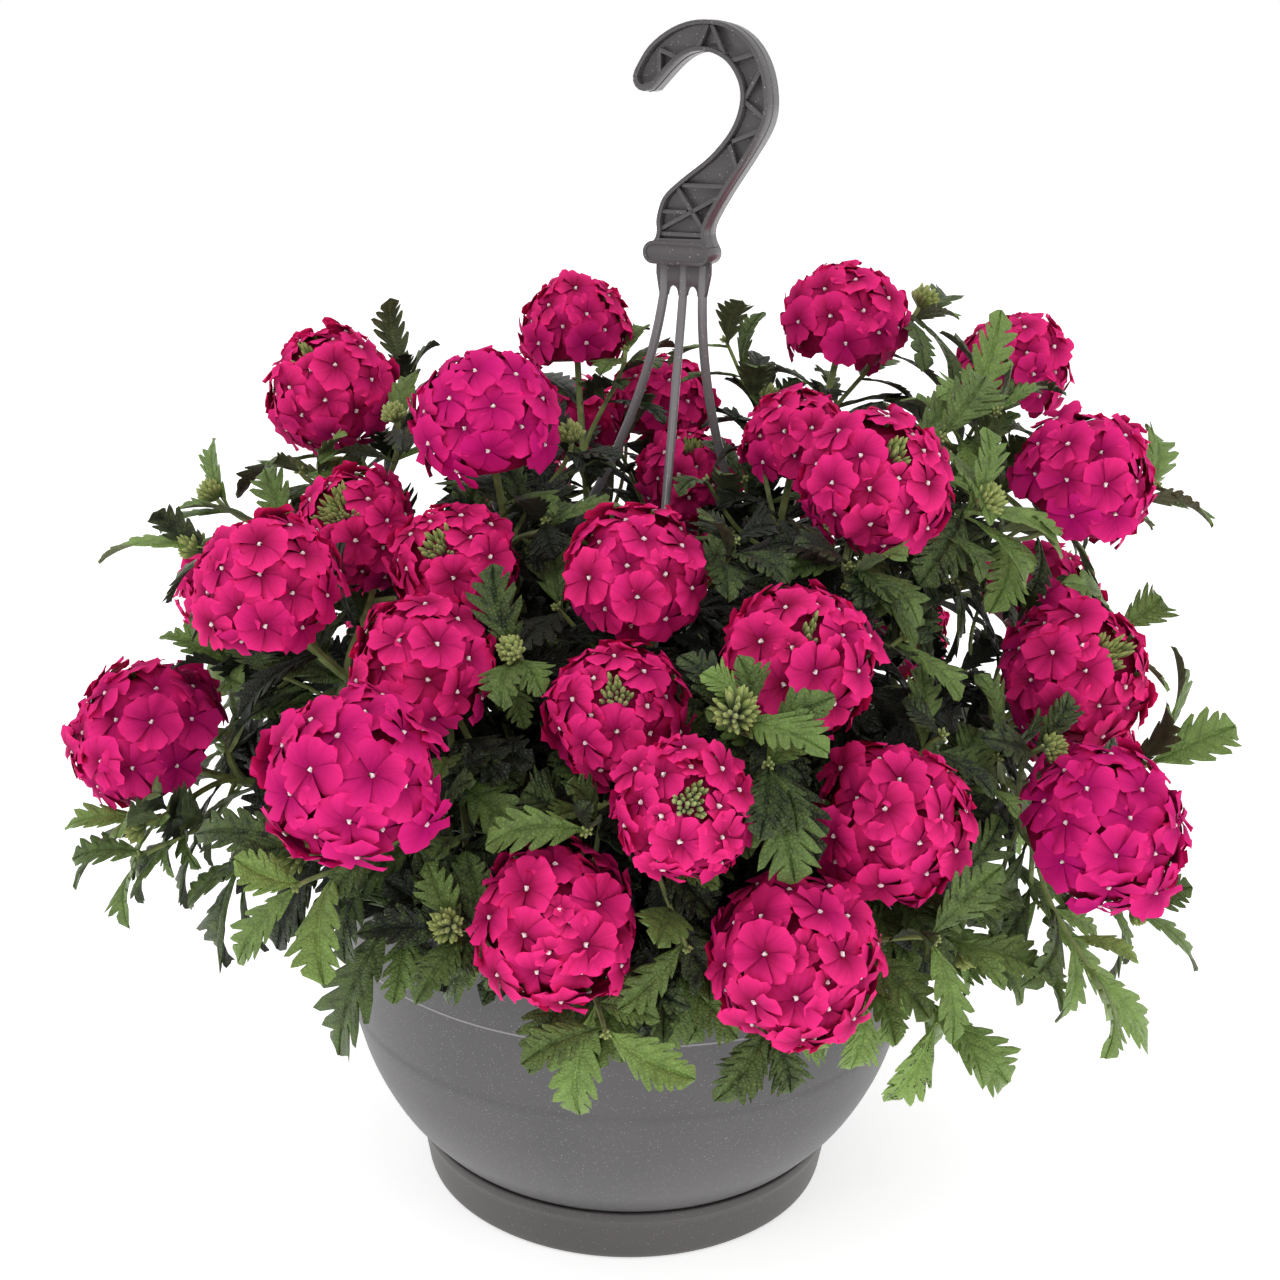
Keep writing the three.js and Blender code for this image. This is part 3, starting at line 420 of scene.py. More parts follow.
def turnPiece(name, finish, node, profile, sides, lumps=None, paintedHighlightBand=None):
    # a closed turned piece; the profile starts and ends on the axis, and carries a painted highlight line
    # between two heights
    piece = Piece(name, [finish])
    turns = np.arange(sides) * fullTurn / sides
    rings = [(r, z) for r, z in profile if r > 0]
    points = [(r * math.cos(t), r * math.sin(t), z) for r, z in rings for t in turns]
    points += [(0, 0, profile[0][1]), (0, 0, profile[-1][1])]
    points = np.array(points)
    if lumps:
        points[:, 2] += [lumps(Vector(p)) for p in points]
    triangles, flat = [], []
    travel = np.cumsum([0] + [math.dist(a, b) for a, b in zip(rings, rings[1:])])
    for i in range(len(rings) - 1):
        for k in range(sides):
            a, b = i * sides + k, i * sides + (k + 1) % sides
            c, d = b + sides, a + sides
            triangles += [(a, b, c), (a, c, d)]
            flat += [(k, i), (k + 1, i), (k + 1, i + 1), (k, i), (k + 1, i + 1), (k, i + 1)]
    widest = max(r for r, z in rings) * fullTurn / sides
    flat = np.array([(x * widest, travel[y]) for x, y in flat])
    low, high = len(points) - 2, len(points) - 1
    start = (len(rings) - 1) * sides
    discs = [
        [(low, (k + 1) % sides, k) for k in range(sides)],
        [(high, start + k, start + (k + 1) % sides) for k in range(sides)],
    ]
    bottom, top = paintedHighlightBand or (0, 0)
    piece.add(points, [], tone=[potShape["paintedSeamHighlight"] * (bottom < z < top) for _, _, z in points])
    patches = [(np.array(triangles), flat)]
    patches += [(np.array(disc), points[np.array(disc)][:, :, :2].reshape(-1, 2)) for disc in discs]
    for faces, layout in patches:
        piece.faces.append(faces)
        piece.finish.append(np.zeros(len(faces), int))
        piece.layout.append(layout)
    settle(piece.make(), node)


potShape = {
    "sides": 144,
    "saucer": {"foot": 88.4, "top": 91.6, "height": 24, "wall": 2.0, "floor": 2.4},
    "base": 2.75,  # underside of the bowl
    "seam": (125.4, 119.4),
    "bead": 0.16,  # how far the seam line stands out
    # how much lighter the seam's bead is painted: a painted highlight line
    "paintedSeamHighlight": 0.4,
    "ridge": (121.3, 86.7),
    "ridgeStep": 0.5,
    "rim": (130, 160),
    "rimEdge": [  # out and up from the rim's outer top corner
        (-0.9, -10.2), (-0.3, -9.4), (0, -7.5), (0, -2), (-0.4, -0.8), (-1.4, 0), (-2.8, 0), (-3.8, -0.8),
        (-4.2, -3),
    ],
    "mediumTop": 147,
    "mediumSides": 110,
    "under": [(86, 16), (89.3, 23.6), (93.4, 27.6), (102.6, 38.6), (109.8, 51), (115.3, 64), (119.6, 79)],
}


def makePot():
    sides = potShape["sides"]
    saucer = potShape["saucer"]
    foot, top, height, wall, floor = (saucer[k] for k in ("foot", "top", "height", "wall", "floor"))
    profile = [(0, 1.2), (foot - 14, 1.2), (foot - 13, 0), (foot - 3.6, 0), (foot - 1.8, 0.5)]
    profile += [(foot - 0.5, 1.7), (foot, 3.2)]
    profile += [(foot + (top - 0.4 - foot) * k / 6, 3.2 + (height - 7.2) * k / 6) for k in range(1, 7)]
    profile += [(top - 0.1, height - 3.7), (top, height - 3.2), (top, height - 0.5), (top - 0.5, height)]
    profile += [(top - wall + 0.5, height), (top - wall, height - 0.5)]
    profile += [(foot - wall + 1, floor + 2), (foot - wall - 1, floor), (0, floor)]
    turnPiece("dripSaucer", "saucer", "saucer", profile, sides)

    base = potShape["base"]
    seamRadius, seamHeight = potShape["seam"]
    ridgeRadius, ridgeHeight = potShape["ridge"]
    rimRadius, rimHeight = potShape["rim"]
    profile = [(0, base), (76.5, base), (78, base + 0.8), (84, 11)]
    profile += [tuple(p) for p in smoothLine(potShape["under"], 30)]
    wall = smoothLine([(119.6, 79), (121, ridgeHeight - 1), (122.9, 98), (124.1, 109), (124.8, 117)], 18)
    step = potShape["ridgeStep"]
    profile += [(r, z) for r, z in wall[1:] if z < ridgeHeight - 1.2]
    profile += [(ridgeRadius - step, ridgeHeight - 0.8), (ridgeRadius - step, ridgeHeight - 0.2)]
    profile += [(ridgeRadius, ridgeHeight + 0.2), (ridgeRadius, ridgeHeight + 0.8)]
    profile += [(r, z) for r, z in wall if z > ridgeHeight + 1.4]
    bead = potShape["bead"]
    line = [(-2.0, 0), (-0.9, 0), (-0.5, 0), (-0.22, bead), (0.22, bead), (0.5, 0), (0.9, 0), (2.0, 0)]
    profile += [(seamRadius - 0.4 + 0.09 * up + out, seamHeight + up) for up, out in line]
    profile += [(125.9, 128), (126.5, 138), (126.9, rimHeight - 12.4), (126.95, rimHeight - 11.4)]
    profile += [(127.2, rimHeight - 10.9)]
    profile += [(rimRadius + out, rimHeight + up) for out, up in potShape["rimEdge"]]
    # the inside, under the medium
    profile += [(seamRadius - 3, seamHeight), (112, 60), (90, 27), (74, 6.6), (0, 6.6)]
    # the seam's bead is painted lighter: a painted highlight line
    paintedHighlightBand = (seamHeight - 0.3, seamHeight + 0.3)
    turnPiece("hangingBowl", "bowl", "bowl", profile, sides, paintedHighlightBand=paintedHighlightBand)

    def lumps(point):
        inside = min(1, max(0, (118 - math.hypot(point.x, point.y)) / 12))
        high = min(1, max(0, (point.z - 140) / 6))
        return inside * high * (2.2 * noise.noise(point / 16) + 1.4 * noise.noise(point / 5) - 1)

    level = potShape["mediumTop"]
    profile = [(0, 7), (73, 7), (89, 27.6), (111.2, 60.4), (122, 119.6), (124.2, level - 0.4)]
    profile += [(r, level) for r in np.linspace(123.6, 2, 44)] + [(0, level)]
    sides = potShape["mediumSides"]
    turnPiece("growingMedium", "peat", "growing_medium", profile, sides, lumps)


makePot()
print("pot made")

# One moulded hanger: an open hook with a rim round a ribbed web, a collar, and three legs on rim clips.
hangerShape = {
    "height": 397,  # of the collar's middle
    "shift": 15,
    "collar": {"halfWidth": 14, "halfHeight": 4.4, "depth": 13, "rim": 1.3, "recess": 0.8},
    "hook": {"depth": 12, "flange": 1.5, "web": 3, "ribWidth": 1.5, "ribShy": 0.9, "turn": -25, "steps": 56},
    "ribInside": 0.5,  # how far inside the hook's outline a rib ends
    "pocketLow": 5.2,
    "parting": [(-0.45, 0), (-0.2, 0.22), (0.2, 0.22), (0.45, 0)],  # depth and height of the parting line
    "plate": {"halfWidth": 11.5, "depth": 2, "drop": 16.5, "shift": 1, "arch": 2.3},
    "leg": {"width": 3.5, "depth": 3.8, "spread": 8.2, "sections": 30},
    "bow": {"radius": 15, "height": 288, "shift": 10.5},
    "clip": {"width": 12, "reach": 8, "thickness": 2.2, "inside": 6, "outside": 0.6, "seat": 160.35},
    "turns": [150, 270, 30],
    "rounding": 0.45,
    "outer": [
        (13.4, 2.6), (12, 5.4), (11.6, 8.6), (13, 13), (18.8, 23), (28.7, 38), (34.6, 49), (35.4, 59),
        (32.6, 70), (26.5, 79), (17.5, 84.4), (6.5, 85.6), (-4, 82.8), (-13.5, 76.2), (-19.2, 67.6),
    ],
    "inner": [
        (-13, 60.4), (-3.4, 70), (3.5, 74), (11, 74.3), (18.5, 70.8), (23.6, 63.5), (24.4, 55.5),
        (21, 46.2), (12.8, 36.6), (1, 27.6), (-6, 21), (-8.6, 13), (-8.4, 8.4), (-9.2, 5.2), (-11.8, 2.6),
    ],
    "tip": [(-19.9, 65.4), (-19.8, 63.4), (-18.9, 61.6), (-17.3, 60.3), (-15.2, 59.8)],
    "pocketTip": [(-18.3, 65.2), (-17.8, 63.4), (-16.4, 62.2)],
    "ribs": [
        (-9.6, 74, -9.2, 63.5), (-9.6, 75, 0.6, 71), (10, 84, 5, 73.2), (11.5, 84, 17.6, 72),
        (19.4, 71, 31.7, 74.4), (33.6, 71, 26, 58), (25.5, 57, 35.2, 50), (34.2, 47.2, 21.4, 42.3),
        (20.4, 41, 24.6, 30), (1.5, 25.7, 20.6, 25.7), (20, 23.6, -7, 9), (-1, 25, 11.4, 8.4),
        (-7.8, 15.6, 3.6, 15.6), (-8.6, 7.2, 12.2, 7.2),
    ],
}


def insetLine(line, inset):
    along = np.gradient(line, axis=0)
    along /= np.linalg.norm(along, axis=1)[:, None]
    return line + np.stack([-along[:, 1], along[:, 0]], 1) * inset


def fillBetween(mesh, loops, layers, flip):
    # flat triangles between outlines whose corners are already in the mesh
    flat = [[Vector((x, z, 0)) for x, z in loop] for loop in loops]
    corners = [corner for layer in layers for corner in layer]
    for triangle in tessellate_polygon(flat):
        picked = [corners[i] for i in triangle]
        mesh.faces.new(picked[::-1] if flip else picked)


def depthInside(x, z, outline):
    # how far a point lies inside a closed outline; below 0 outside
    ring = np.asarray(outline)
    after = np.roll(ring, -1, axis=0)
    step = after - ring
    share = np.clip(((x, z) - ring) @ [1, 0] * step[:, 0] + ((x, z) - ring) @ [0, 1] * step[:, 1], 0, None)
    share = np.minimum(share / np.maximum((step**2).sum(1), 1e-9), 1)
    near = np.linalg.norm(ring + share[:, None] * step - (x, z), axis=1).min()
    crossing = (ring[:, 1] > z) != (after[:, 1] > z)
    across = ring[crossing, 0] + step[crossing, 0] * (z - ring[crossing, 1]) / step[crossing, 1]
    return near if (x < across).sum() % 2 else -near


def addWall(mesh, front, back, flip):
    for i in range(len(front)):
        j = (i + 1) % len(front)
        face = [front[i], front[j], back[j], back[i]]
        mesh.faces.new(face[::-1] if flip else face)


def addCorners(mesh, outline, y):
    return [mesh.verts.new((x, y, z)) for x, z in outline]


def addFaces(mesh, outline, pocket, half, floorHalf):
    # both faces of a block, each with a sunken pocket; gives the corners round their outer edges
    edges = []
    for side in (-1, 1):
        rings = [(outline, half), (pocket, half), (pocket, floorHalf)]
        edge, lip, floor = (addCorners(mesh, ring, side * y) for ring, y in rings)
        fillBetween(mesh, [outline, pocket], [edge, lip], side > 0)
        fillBetween(mesh, [pocket], [floor], side > 0)
        addWall(mesh, lip, floor, side > 0)
        edges.append(edge)
    return edges


def addBlock(mesh, size, place):
    made = bmesh.ops.create_cube(mesh, size=1)
    bmesh.ops.transform(mesh, matrix=place @ Matrix.Diagonal((*size, 1)), verts=made["verts"])


def ribWithin(rib, outline, width):
    # the rib cut back at both ends until its corners lie inside the outline
    ends = np.array(rib, float).reshape(2, 2)
    for k in (0, 1):
        inward = unit(ends[1 - k] - ends[k])
        side = np.array((-inward[1], inward[0])) * width / 2
        for _ in range(60):
            depths = [depthInside(*(ends[k] + side * hand), outline) for hand in (-1, 1)]
            if min(depths) > hangerShape["ribInside"]:
                break
            ends[k] += inward * 0.15
    return ends


def hookMesh():
    hook = hangerShape["hook"]
    steps = hook["steps"]
    mesh = bmesh.new()
    outer = smoothLine(hangerShape["outer"], steps)
    inner = smoothLine(hangerShape["inner"], steps)
    outline = np.array([*outer, *hangerShape["tip"], *inner])
    outerIn, innerIn = insetLine(outer, hook["flange"]), insetLine(inner, hook["flange"])
    low = hangerShape["pocketLow"]
    pocket = [p for p in outerIn[:-1] if p[1] > low] + hangerShape["pocketTip"]
    pocket += [p for p in innerIn[1:] if p[1] > low]
    back, front = addFaces(mesh, outline, pocket, hook["depth"] / 2, hook["web"] / 2)
    parting = [addCorners(mesh, insetLine(outline, -out), y) for y, out in hangerShape["parting"]]
    bands = [back, *parting, front]
    for before, after in zip(bands, bands[1:]):
        addWall(mesh, before, after, False)
    for rib in hangerShape["ribs"]:
        (x1, z1), (x2, z2) = ribWithin(rib, outline, hook["ribWidth"])
        lean = Matrix.Rotation(-math.atan2(z2 - z1, x2 - x1), 4, "Y")
        place = Matrix.Translation(((x1 + x2) / 2, 0, (z1 + z2) / 2)) @ lean
        size = (math.hypot(x2 - x1, z2 - z1), hook["depth"] - 2 * hook["ribShy"], hook["ribWidth"])
        addBlock(mesh, size, place)
    return mesh


def stadium(end, high):
    turns = np.linspace(-math.pi / 2, math.pi / 2, 13)
    outline = [(end + high * math.cos(t), high * math.sin(t)) for t in turns]
    return outline + [(-x, -z) for x, z in outline]


def collarMesh(mesh):
    # a stadium with a sunken face on both sides, and the plate below it that the legs run down
    collar, plate = hangerShape["collar"], hangerShape["plate"]
    end, high, half = collar["halfWidth"] - collar["halfHeight"], collar["halfHeight"], collar["depth"] / 2
    outline, face = stadium(end, high), stadium(end, high - collar["rim"])
    addWall(mesh, *addFaces(mesh, outline, face, half, half - collar["recess"]), True)

    wide, drop, arch = plate["halfWidth"], plate["drop"], plate["arch"]
    spread = hangerShape["leg"]["spread"]
    outline = [(-wide, -2), (-wide, -drop / 2), (-wide + 1.6, -drop)]
    for middle in (-spread / 2, spread / 2):
        turns = np.linspace(0, math.pi, 9)
        outline += [(middle - arch * math.cos(t), -drop + arch * 1.6 * math.sin(t)) for t in turns]
    outline += [(wide - 1.6, -drop), (wide, -drop / 2), (wide, -2)]
    outline = [(x + plate["shift"], z) for x, z in outline]
    sides = [addCorners(mesh, outline, y) for y in (-plate["depth"] / 2, plate["depth"] / 2)]
    for corners, flip in zip(sides, (False, True)):
        fillBetween(mesh, [outline], [corners], flip)
    addWall(mesh, *sides, False)


def legMesh(mesh, turn, slot):
    collar, plate, leg, bow, clip = (hangerShape[k] for k in ("collar", "plate", "leg", "bow", "clip"))
    angle = math.radians(turn)
    out = Vector((math.cos(angle), math.sin(angle), 0))
    across = Vector((plate["shift"] + slot * leg["spread"], 0, -collar["halfHeight"]))
    across.rotate(Matrix.Rotation(math.radians(hangerShape["hook"]["turn"]), 3, "Z"))
    top = across + Vector((hangerShape["shift"], 0, hangerShape["height"]))
    start = top - Vector((0, 0, plate["drop"] - 6))
    bend = out * bow["radius"] + Vector((bow["shift"], 0, bow["height"]))
    rimRadius = potShape["rim"][0]
    foot = out * (rimRadius - 2)
    foot.z = clip["seat"] + clip["thickness"] / 2
    rings = []
    corners = [(math.cos(t), math.sin(t)) for t in np.arange(12) * fullTurn / 12]
    for i in range(-1, leg["sections"] + 1):
        t = max(i, 0) / leg["sections"]
        point = start * (1 - t) ** 2 + bend * 2 * t * (1 - t) + foot * t * t
        along = ((bend - start) * (1 - t) + (foot - bend) * t).normalized()
        if i < 0:
            point = top
        side = out.cross(Vector((0, 0, 1)))
        side = (side - along * side.dot(along)).normalized()
        other = along.cross(side)
        ring = [point + side * a * leg["width"] / 2 + other * b * leg["depth"] / 2 for a, b in corners]
        rings.append([mesh.verts.new(corner) for corner in ring])
    before = len(mesh.faces)
    for ring, after in zip(rings, rings[1:]):
        addWall(mesh, ring, after, False)
    mesh.faces.new(rings[0][::-1])
    mesh.faces.new(rings[-1])
    mesh.faces.ensure_lookup_table()
    # the legs take the lighter grey: their painted highlight
    for face in mesh.faces[before:]:
        face.material_index = 1
    near = rimRadius - clip["inside"] - clip["thickness"]
    far = rimRadius + clip["outside"]
    seat, thick = clip["seat"], clip["thickness"]
    spin = Matrix.Rotation(angle, 4, "Z")
    blocks = [
        (near, far + thick, seat, seat + thick),
        (near, near + thick, seat - clip["reach"], seat + thick / 2),
        (far, far + thick, seat - clip["reach"], seat + thick / 2),
    ]
    for a, b, low, high in blocks:
        place = spin @ Matrix.Translation(((a + b) / 2, 0, (low + high) / 2))
        addBlock(mesh, (b - a, clip["width"], high - low), place)


def makeHanger():
    mesh = hookMesh()
    collarMesh(mesh)
    turn = Matrix.Rotation(math.radians(hangerShape["hook"]["turn"]), 4, "Z")
    place = Matrix.Translation((hangerShape["shift"], 0, hangerShape["height"])) @ turn
    bmesh.ops.transform(mesh, matrix=place, verts=mesh.verts)
    for slot, angle in zip((-1, 0, 1), hangerShape["turns"]):
        legMesh(mesh, angle, slot)
    bmesh.ops.recalc_face_normals(mesh, faces=mesh.faces)
    bmesh.ops.transform(mesh, matrix=Matrix.Scale(mm, 4), verts=mesh.verts)
    data = bpy.data.meshes.new("moulding")
    mesh.to_mesh(data)
    mesh.free()
    for finish in ("hanger", "leg"):
        data.materials.append(finishes[finish])
    hanger = addObject("mouldedHanger", data)
    soften = hanger.modifiers.new("soften", "BEVEL")
    soften.width = hangerShape["rounding"] * mm
    soften.segments, soften.use_clamp_overlap = 2, True
    soften.limit_method, soften.angle_limit = "ANGLE", math.radians(50)
    graph = bpy.context.evaluated_depsgraph_get()
    rounded = bpy.data.meshes.new_from_object(hanger.evaluated_get(graph))
    hanger.modifiers.clear()
    hanger.data = rounded
    rounded.polygons.foreach_set("use_smooth", [True] * len(rounded.polygons))
    rounded.set_sharp_from_angle(angle=math.radians(40))
    settle(hanger, "hanger")


makeHanger()
print("hanger made")

# The plant. Each shoot: its flower heads as (x, y, z, diameter), then its leafy twigs, with the place
# of the twig's end, the width of its buds, and leaf tips as (x, y, z, width).
shoots = [
    ("crown_left", [(-129, 30, 335, 56)], [
        ((-99, 0, 331), 9, []),
        ((-100, 58, 338), 0, [(-107, 50, 372, 15), (-90, 66, 352, 14)]),
        ((-137, -5, 308), 0, [(-147, -15, 313, 16), (-116, -30, 300, 18)]),
    ]),
    ("crown_mid_left", [(-57, -50, 337, 58)], [
        ((-27, -25, 329), 10, [(-14, -40, 316, 14)]),
        ((-34, -70, 305), 0, [(-29, -85, 295, 16), (-42, -88, 316, 14), (-22, -50, 306, 14)]),
    ]),
    ("crown_back_left", [(-29, 70, 357, 50)], [
        ((-7, 60, 351), 0, [(1, 70, 360, 14), (-17, 40, 344, 15)]),
    ]),
    ("crown_back", [(9, 88, 322, 49), (22, 46, 298, 45)], []),
    ("crown_back_right", [(85, 45, 365, 54)], [
        ((120, 60, 375), 11, [(131, 30, 343, 17), (97, 15, 347, 16)]),
    ]),
    ("crown_right", [(160, 55, 347, 49), (174, -20, 313, 59)], [
        ((120, -10, 338), 12, [(142, 5, 377, 19), (127, -30, 313, 18), (105, -5, 344, 15)]),
        ((209, -5, 310), 0, [(215, -15, 304, 15)]),
    ]),
    ("middle_right", [(62, -20, 326, 45), (86, -78, 323, 55)], [
        ((52, 38, 336), 11, [(38, 44, 342, 14), (48, 62, 352, 14), (70, 38, 336, 15)]),
        ((128, -70, 316), 12, [(102, -92, 290, 20), (158, -72, 299, 20)]),
        ((75, -100, 298), 0, [(55, -112, 308, 17), (90, -112, 289, 17), (73, -118, 286, 16)]),
    ]),
    ("left_upper", [(-131, -95, 283, 55), (-109, -38, 292, 49)], [
        ((-178, -20, 280), 11, [(-216, -20, 275, 14)]),
        ((-173, -5, 298), 10, []),
    ]),
    ("left_middle", [(-67, -76, 288, 49), (-73, -121, 262, 53)], [
        ((-42, -128, 273), 9, [(-31, -140, 262, 14)]),
        ((-53, -130, 231), 0, [(-65, -140, 229, 16), (-38, -140, 228, 17)]),
        ((-58, -150, 204), 0, [(-67, -160, 192, 15), (-44, -155, 210, 15)]),
    ]),
    ("middle", [(0, -100, 292, 53)], [
        ((35, -95, 305), 0, [
            (22, -85, 310, 15), (49, -95, 311, 17), (52, -118, 297, 17), (32, -120, 292, 16),
        ]),
    ]),
    ("middle_front", [(-5, -137, 254, 51), (17, -180, 237, 47)], [
        ((-24, -150, 221), 0, [(-36, -150, 230, 18), (-13, -165, 215, 17)]),
    ]),
    ("middle_front_right", [(57, -125, 270, 55)], [
        ((33, -170, 267), 14, [(23, -165, 278, 14)]),
        ((44, -172, 250), 0, [
            (24, -186, 223, 17), (54, -186, 215, 25), (63, -172, 273, 16), (62, -140, 271, 15),
        ]),
    ]),
    ("right_middle", [(169, -58, 246, 59), (169, -112, 204, 65)], [
        ((153, -100, 231), 10, []),
        ((209, -35, 201), 0, [(244, -30, 217, 22), (220, -25, 247, 21), (211, -45, 191, 16)]),
        ((157, -88, 163), 0, [(188, -90, 116, 20), (138, -98, 150, 15)]),
        ((200, -70, 152), 9, [(226, -72, 129, 14)]),
        ((194, -25, 257), 0, [(211, -20, 267, 19), (165, -55, 283, 17)]),
    ]),
    ("left_far", [(-193, -40, 205, 66), (-178, 60, 238, 58)], [
        ((-175, 40, 175), 0, [(-200, 50, 150, 19), (-195, 20, 175, 16), (-175, 70, 160, 17)]),
        ((-194, -65, 177), 11, [
            (-224, -60, 178, 17), (-221, -65, 151, 17), (-158, -90, 211, 15), (-180, -70, 158, 15),
        ]),
        ((-160, -42, 238), 0, [(-187, -40, 248, 15), (-176, -22, 256, 14), (-150, -62, 236, 15)]),
    ]),
    ("left_front", [(-88, -175, 243, 61)], [
        ((-118, -140, 200), 14, [(-155, -128, 203, 17), (-123, -150, 169, 18), (-98, -128, 202, 15)]),
        ((-153, -70, 165), 0, [(-162, -70, 122, 30), (-147, -55, 120, 20), (-177, -60, 141, 15)]),
    ]),
    ("front_left", [(-24, -170, 191, 57)], [
        ((-60, -172, 190), 11, [
            (-89, -176, 189, 14), (-40, -182, 163, 19), (-53, -165, 215, 16), (-71, -160, 212, 15),
        ]),
        ((-84, -150, 182), 0, [(-101, -152, 129, 26), (-91, -140, 200, 16), (-68, -150, 156, 16)]),
    ]),
    ("front_middle", [(55, -177, 183, 59)], [
        ((14, -150, 165), 0, [(39, -160, 144, 18), (2, -160, 172, 17), (25, -150, 180, 15)]),
        ((-5, -150, 158), 0, [(-1, -158, 132, 15)]),
        ((52, -152, 138), 0, [(36, -160, 127, 18), (58, -160, 123, 17)]),
    ]),
    ("front_right", [(89, -143, 218, 57)], [
        ((121, -132, 163), 9, [
            (151, -130, 156, 17), (91, -140, 154, 17), (109, -145, 201, 18), (147, -118, 137, 17),
        ]),
        ((115, -122, 131), 0, [(97, -130, 101, 21), (143, -125, 108, 23)]),
        ((86, -135, 147), 0, [(81, -140, 121, 20)]),
        ((119, -125, 182), 0, [(145, -105, 178, 17), (137, -115, 165, 14)]),
        ((110, -115, 241), 0, [(95, -115, 253, 15), (106, -130, 226, 16), (134, -105, 222, 16)]),
    ]),
    ("back_left", [(-62, 160, 265, 56), (-118, 138, 208, 56)], [
        ((-90, 165, 180), 0, [(-100, 180, 150, 18), (-120, 165, 170, 17), (-75, 185, 185, 16)]),
        ((-150, 110, 260), 10, [(-175, 120, 262, 16), (-150, 135, 275, 16), (-160, 90, 275, 15)]),
    ]),
    ("back_right", [(100, 146, 270, 54), (130, 150, 200, 56)], [
        ((160, 120, 235), 10, [(190, 125, 235, 17), (165, 145, 250, 16), (170, 100, 255, 16)]),
        ((95, 165, 160), 0, [(105, 185, 130, 19), (125, 170, 145, 17), (75, 185, 160, 16)]),
    ]),
    ("back_middle", [(22, 172, 240, 56), (-30, 120, 305, 50)], [
        ((-20, 175, 195), 9, [(-25, 200, 170, 18), (-45, 185, 200, 16), (0, 195, 185, 16)]),
        ((45, 160, 180), 0, [(50, 185, 150, 19), (65, 180, 185, 16)]),
    ]),
    ("side_right", [(182, 66, 240, 58), (196, 32, 180, 58)], [
        ((165, 90, 170), 0, [(180, 105, 140, 19), (190, 80, 175, 16)]),
    ]),
]

plantShape = {
    "heart": np.array((0, 0, 60.0)),  # heads and leaves face away from here
    "top": 147,
    "holes": {"outer": 88, "inner": 28, "perHeight": 0.3, "fromHeight": 190, "mostOfHead": 0.8},
    "seatReach": 0.34,
    "stemGap": 1,
    # the solids' stems: radius at both ends, corners, stretches
    "kinds": {"stem": (2, 1.5, 4, 4), "branch": (1.3, 1.3, 4, 3), "twig": (1, 1, 3, 2)},
    "radii": {"stem": (2.0, 1.5), "branch": (1.5, 1.3), "twig": (1.15, 1.0)},  # and those of the fine stems
    "bows": (9, 18, 27, 38),  # mm that a stem's course may swing out, in six directions
    "budSize": 0.62,
    "firstLeaf": 1.5,
    "leafStep": 3,
    "leafTurn": 0.2,
    "leafShorten": 0.05,
    "arch": 0.1,
    "fold": 0.22,
}


def bezier(corners, steps):
    t = np.linspace(0, 1, steps + 1)[:, None]
    a, b, c, d = corners
    return (1 - t) ** 3 * a + 3 * (1 - t) ** 2 * t * b + 3 * (1 - t) * t**2 * c + t**3 * d


def headAxis(place):
    x, y, z = place[:3]
    return unit((x * 0.75, y * 0.75, z - 60))


def holeOf(heads):
    # where a shoot stands in the medium: towards its first head
    x, y, z, _ = heads[0]
    holes = plantShape["holes"]
    spread = math.hypot(x, y)
    radius = holes["outer"] - holes["perHeight"] * (z - holes["fromHeight"])
    radius = min(max(radius, holes["inner"]), min(holes["outer"], spread * holes["mostOfHead"]))
    return np.array((x * radius / spread, y * radius / spread, plantShape["top"]))


turns = [k * math.pi / 3 for k in range(6)]
sways = [(0, 0)]
sways += [(bow * math.cos(turn), bow * math.sin(turn)) for bow in plantShape["bows"] for turn in turns]


def pointFinder(node):
    # the corners of a solid, for finding which of its possible courses a stem or leaf took
    points = frame["nodes"][node].data.vertices
    finder = kdtree.KDTree(len(points))
    for i, point in enumerate(points):
        finder.insert(point.co / mm, i)
    finder.balance()
    return finder


def misfit(points, finder):
    return sum(finder.find(point)[2] for point in points) / len(points)


def stemCorners(points, kind, first):
    # the corners that a solid stem has round the inner points of its course
    thick, thin, sides, _ = kind
    corners = []
    for i in range(1, len(points) - 1):
        along = unit(points[i + 1] - points[i - 1])
        side, other = acrossFrom(along, (0.8, 0.6, 0))
        share = (i + 1) / len(points) if first else i / (len(points) - 1)
        radius = thick + (thin - thick) * share
        for k in range(sides):
            turn = k * fullTurn / sides
            corners.append(points[i] + radius * (side * math.cos(turn) + other * math.sin(turn)))
    return corners


def bestCourse(courses, kindName, finder, first=False):
    # of a stem's possible courses, the one that the solid has
    kind = plantShape["kinds"][kindName]
    best = None
    for start, lead, approach, end in courses:
        chord = unit(end - start)
        across, other = acrossFrom(chord, (0.1, 0.2, 1))
        for sideways, forward in sways:
            bow = across * sideways + other * forward
            corners = (start, lead + bow, approach + 0.6 * bow, end)
            points = bezier(corners, kind[3])
            off = misfit(stemCorners(points, kind, first), finder)
            if best is None or off < best[0]:
                best = (off, corners, points)
    return {"kind": kindName, "off": best[0], "corners": best[1], "points": best[2]}


def forksOf(stems):
    forks = []
    for stem in stems:
        points = stem["points"]
        if stem["kind"] != "twig":
            forks += [(points[i], unit(points[i + 1] - points[i])) for i in range(1, len(points) - 1)]
    return forks


def headCourse(fork, place):
    start, rise = fork
    axis = headAxis(place)
    end = np.array(place[:3]) - axis * (plantShape["seatReach"] * place[3] / 2 + plantShape["stemGap"])
    far = np.linalg.norm(end - start)
    return start, start + rise * far * 0.36, end - axis * far * 0.3, end


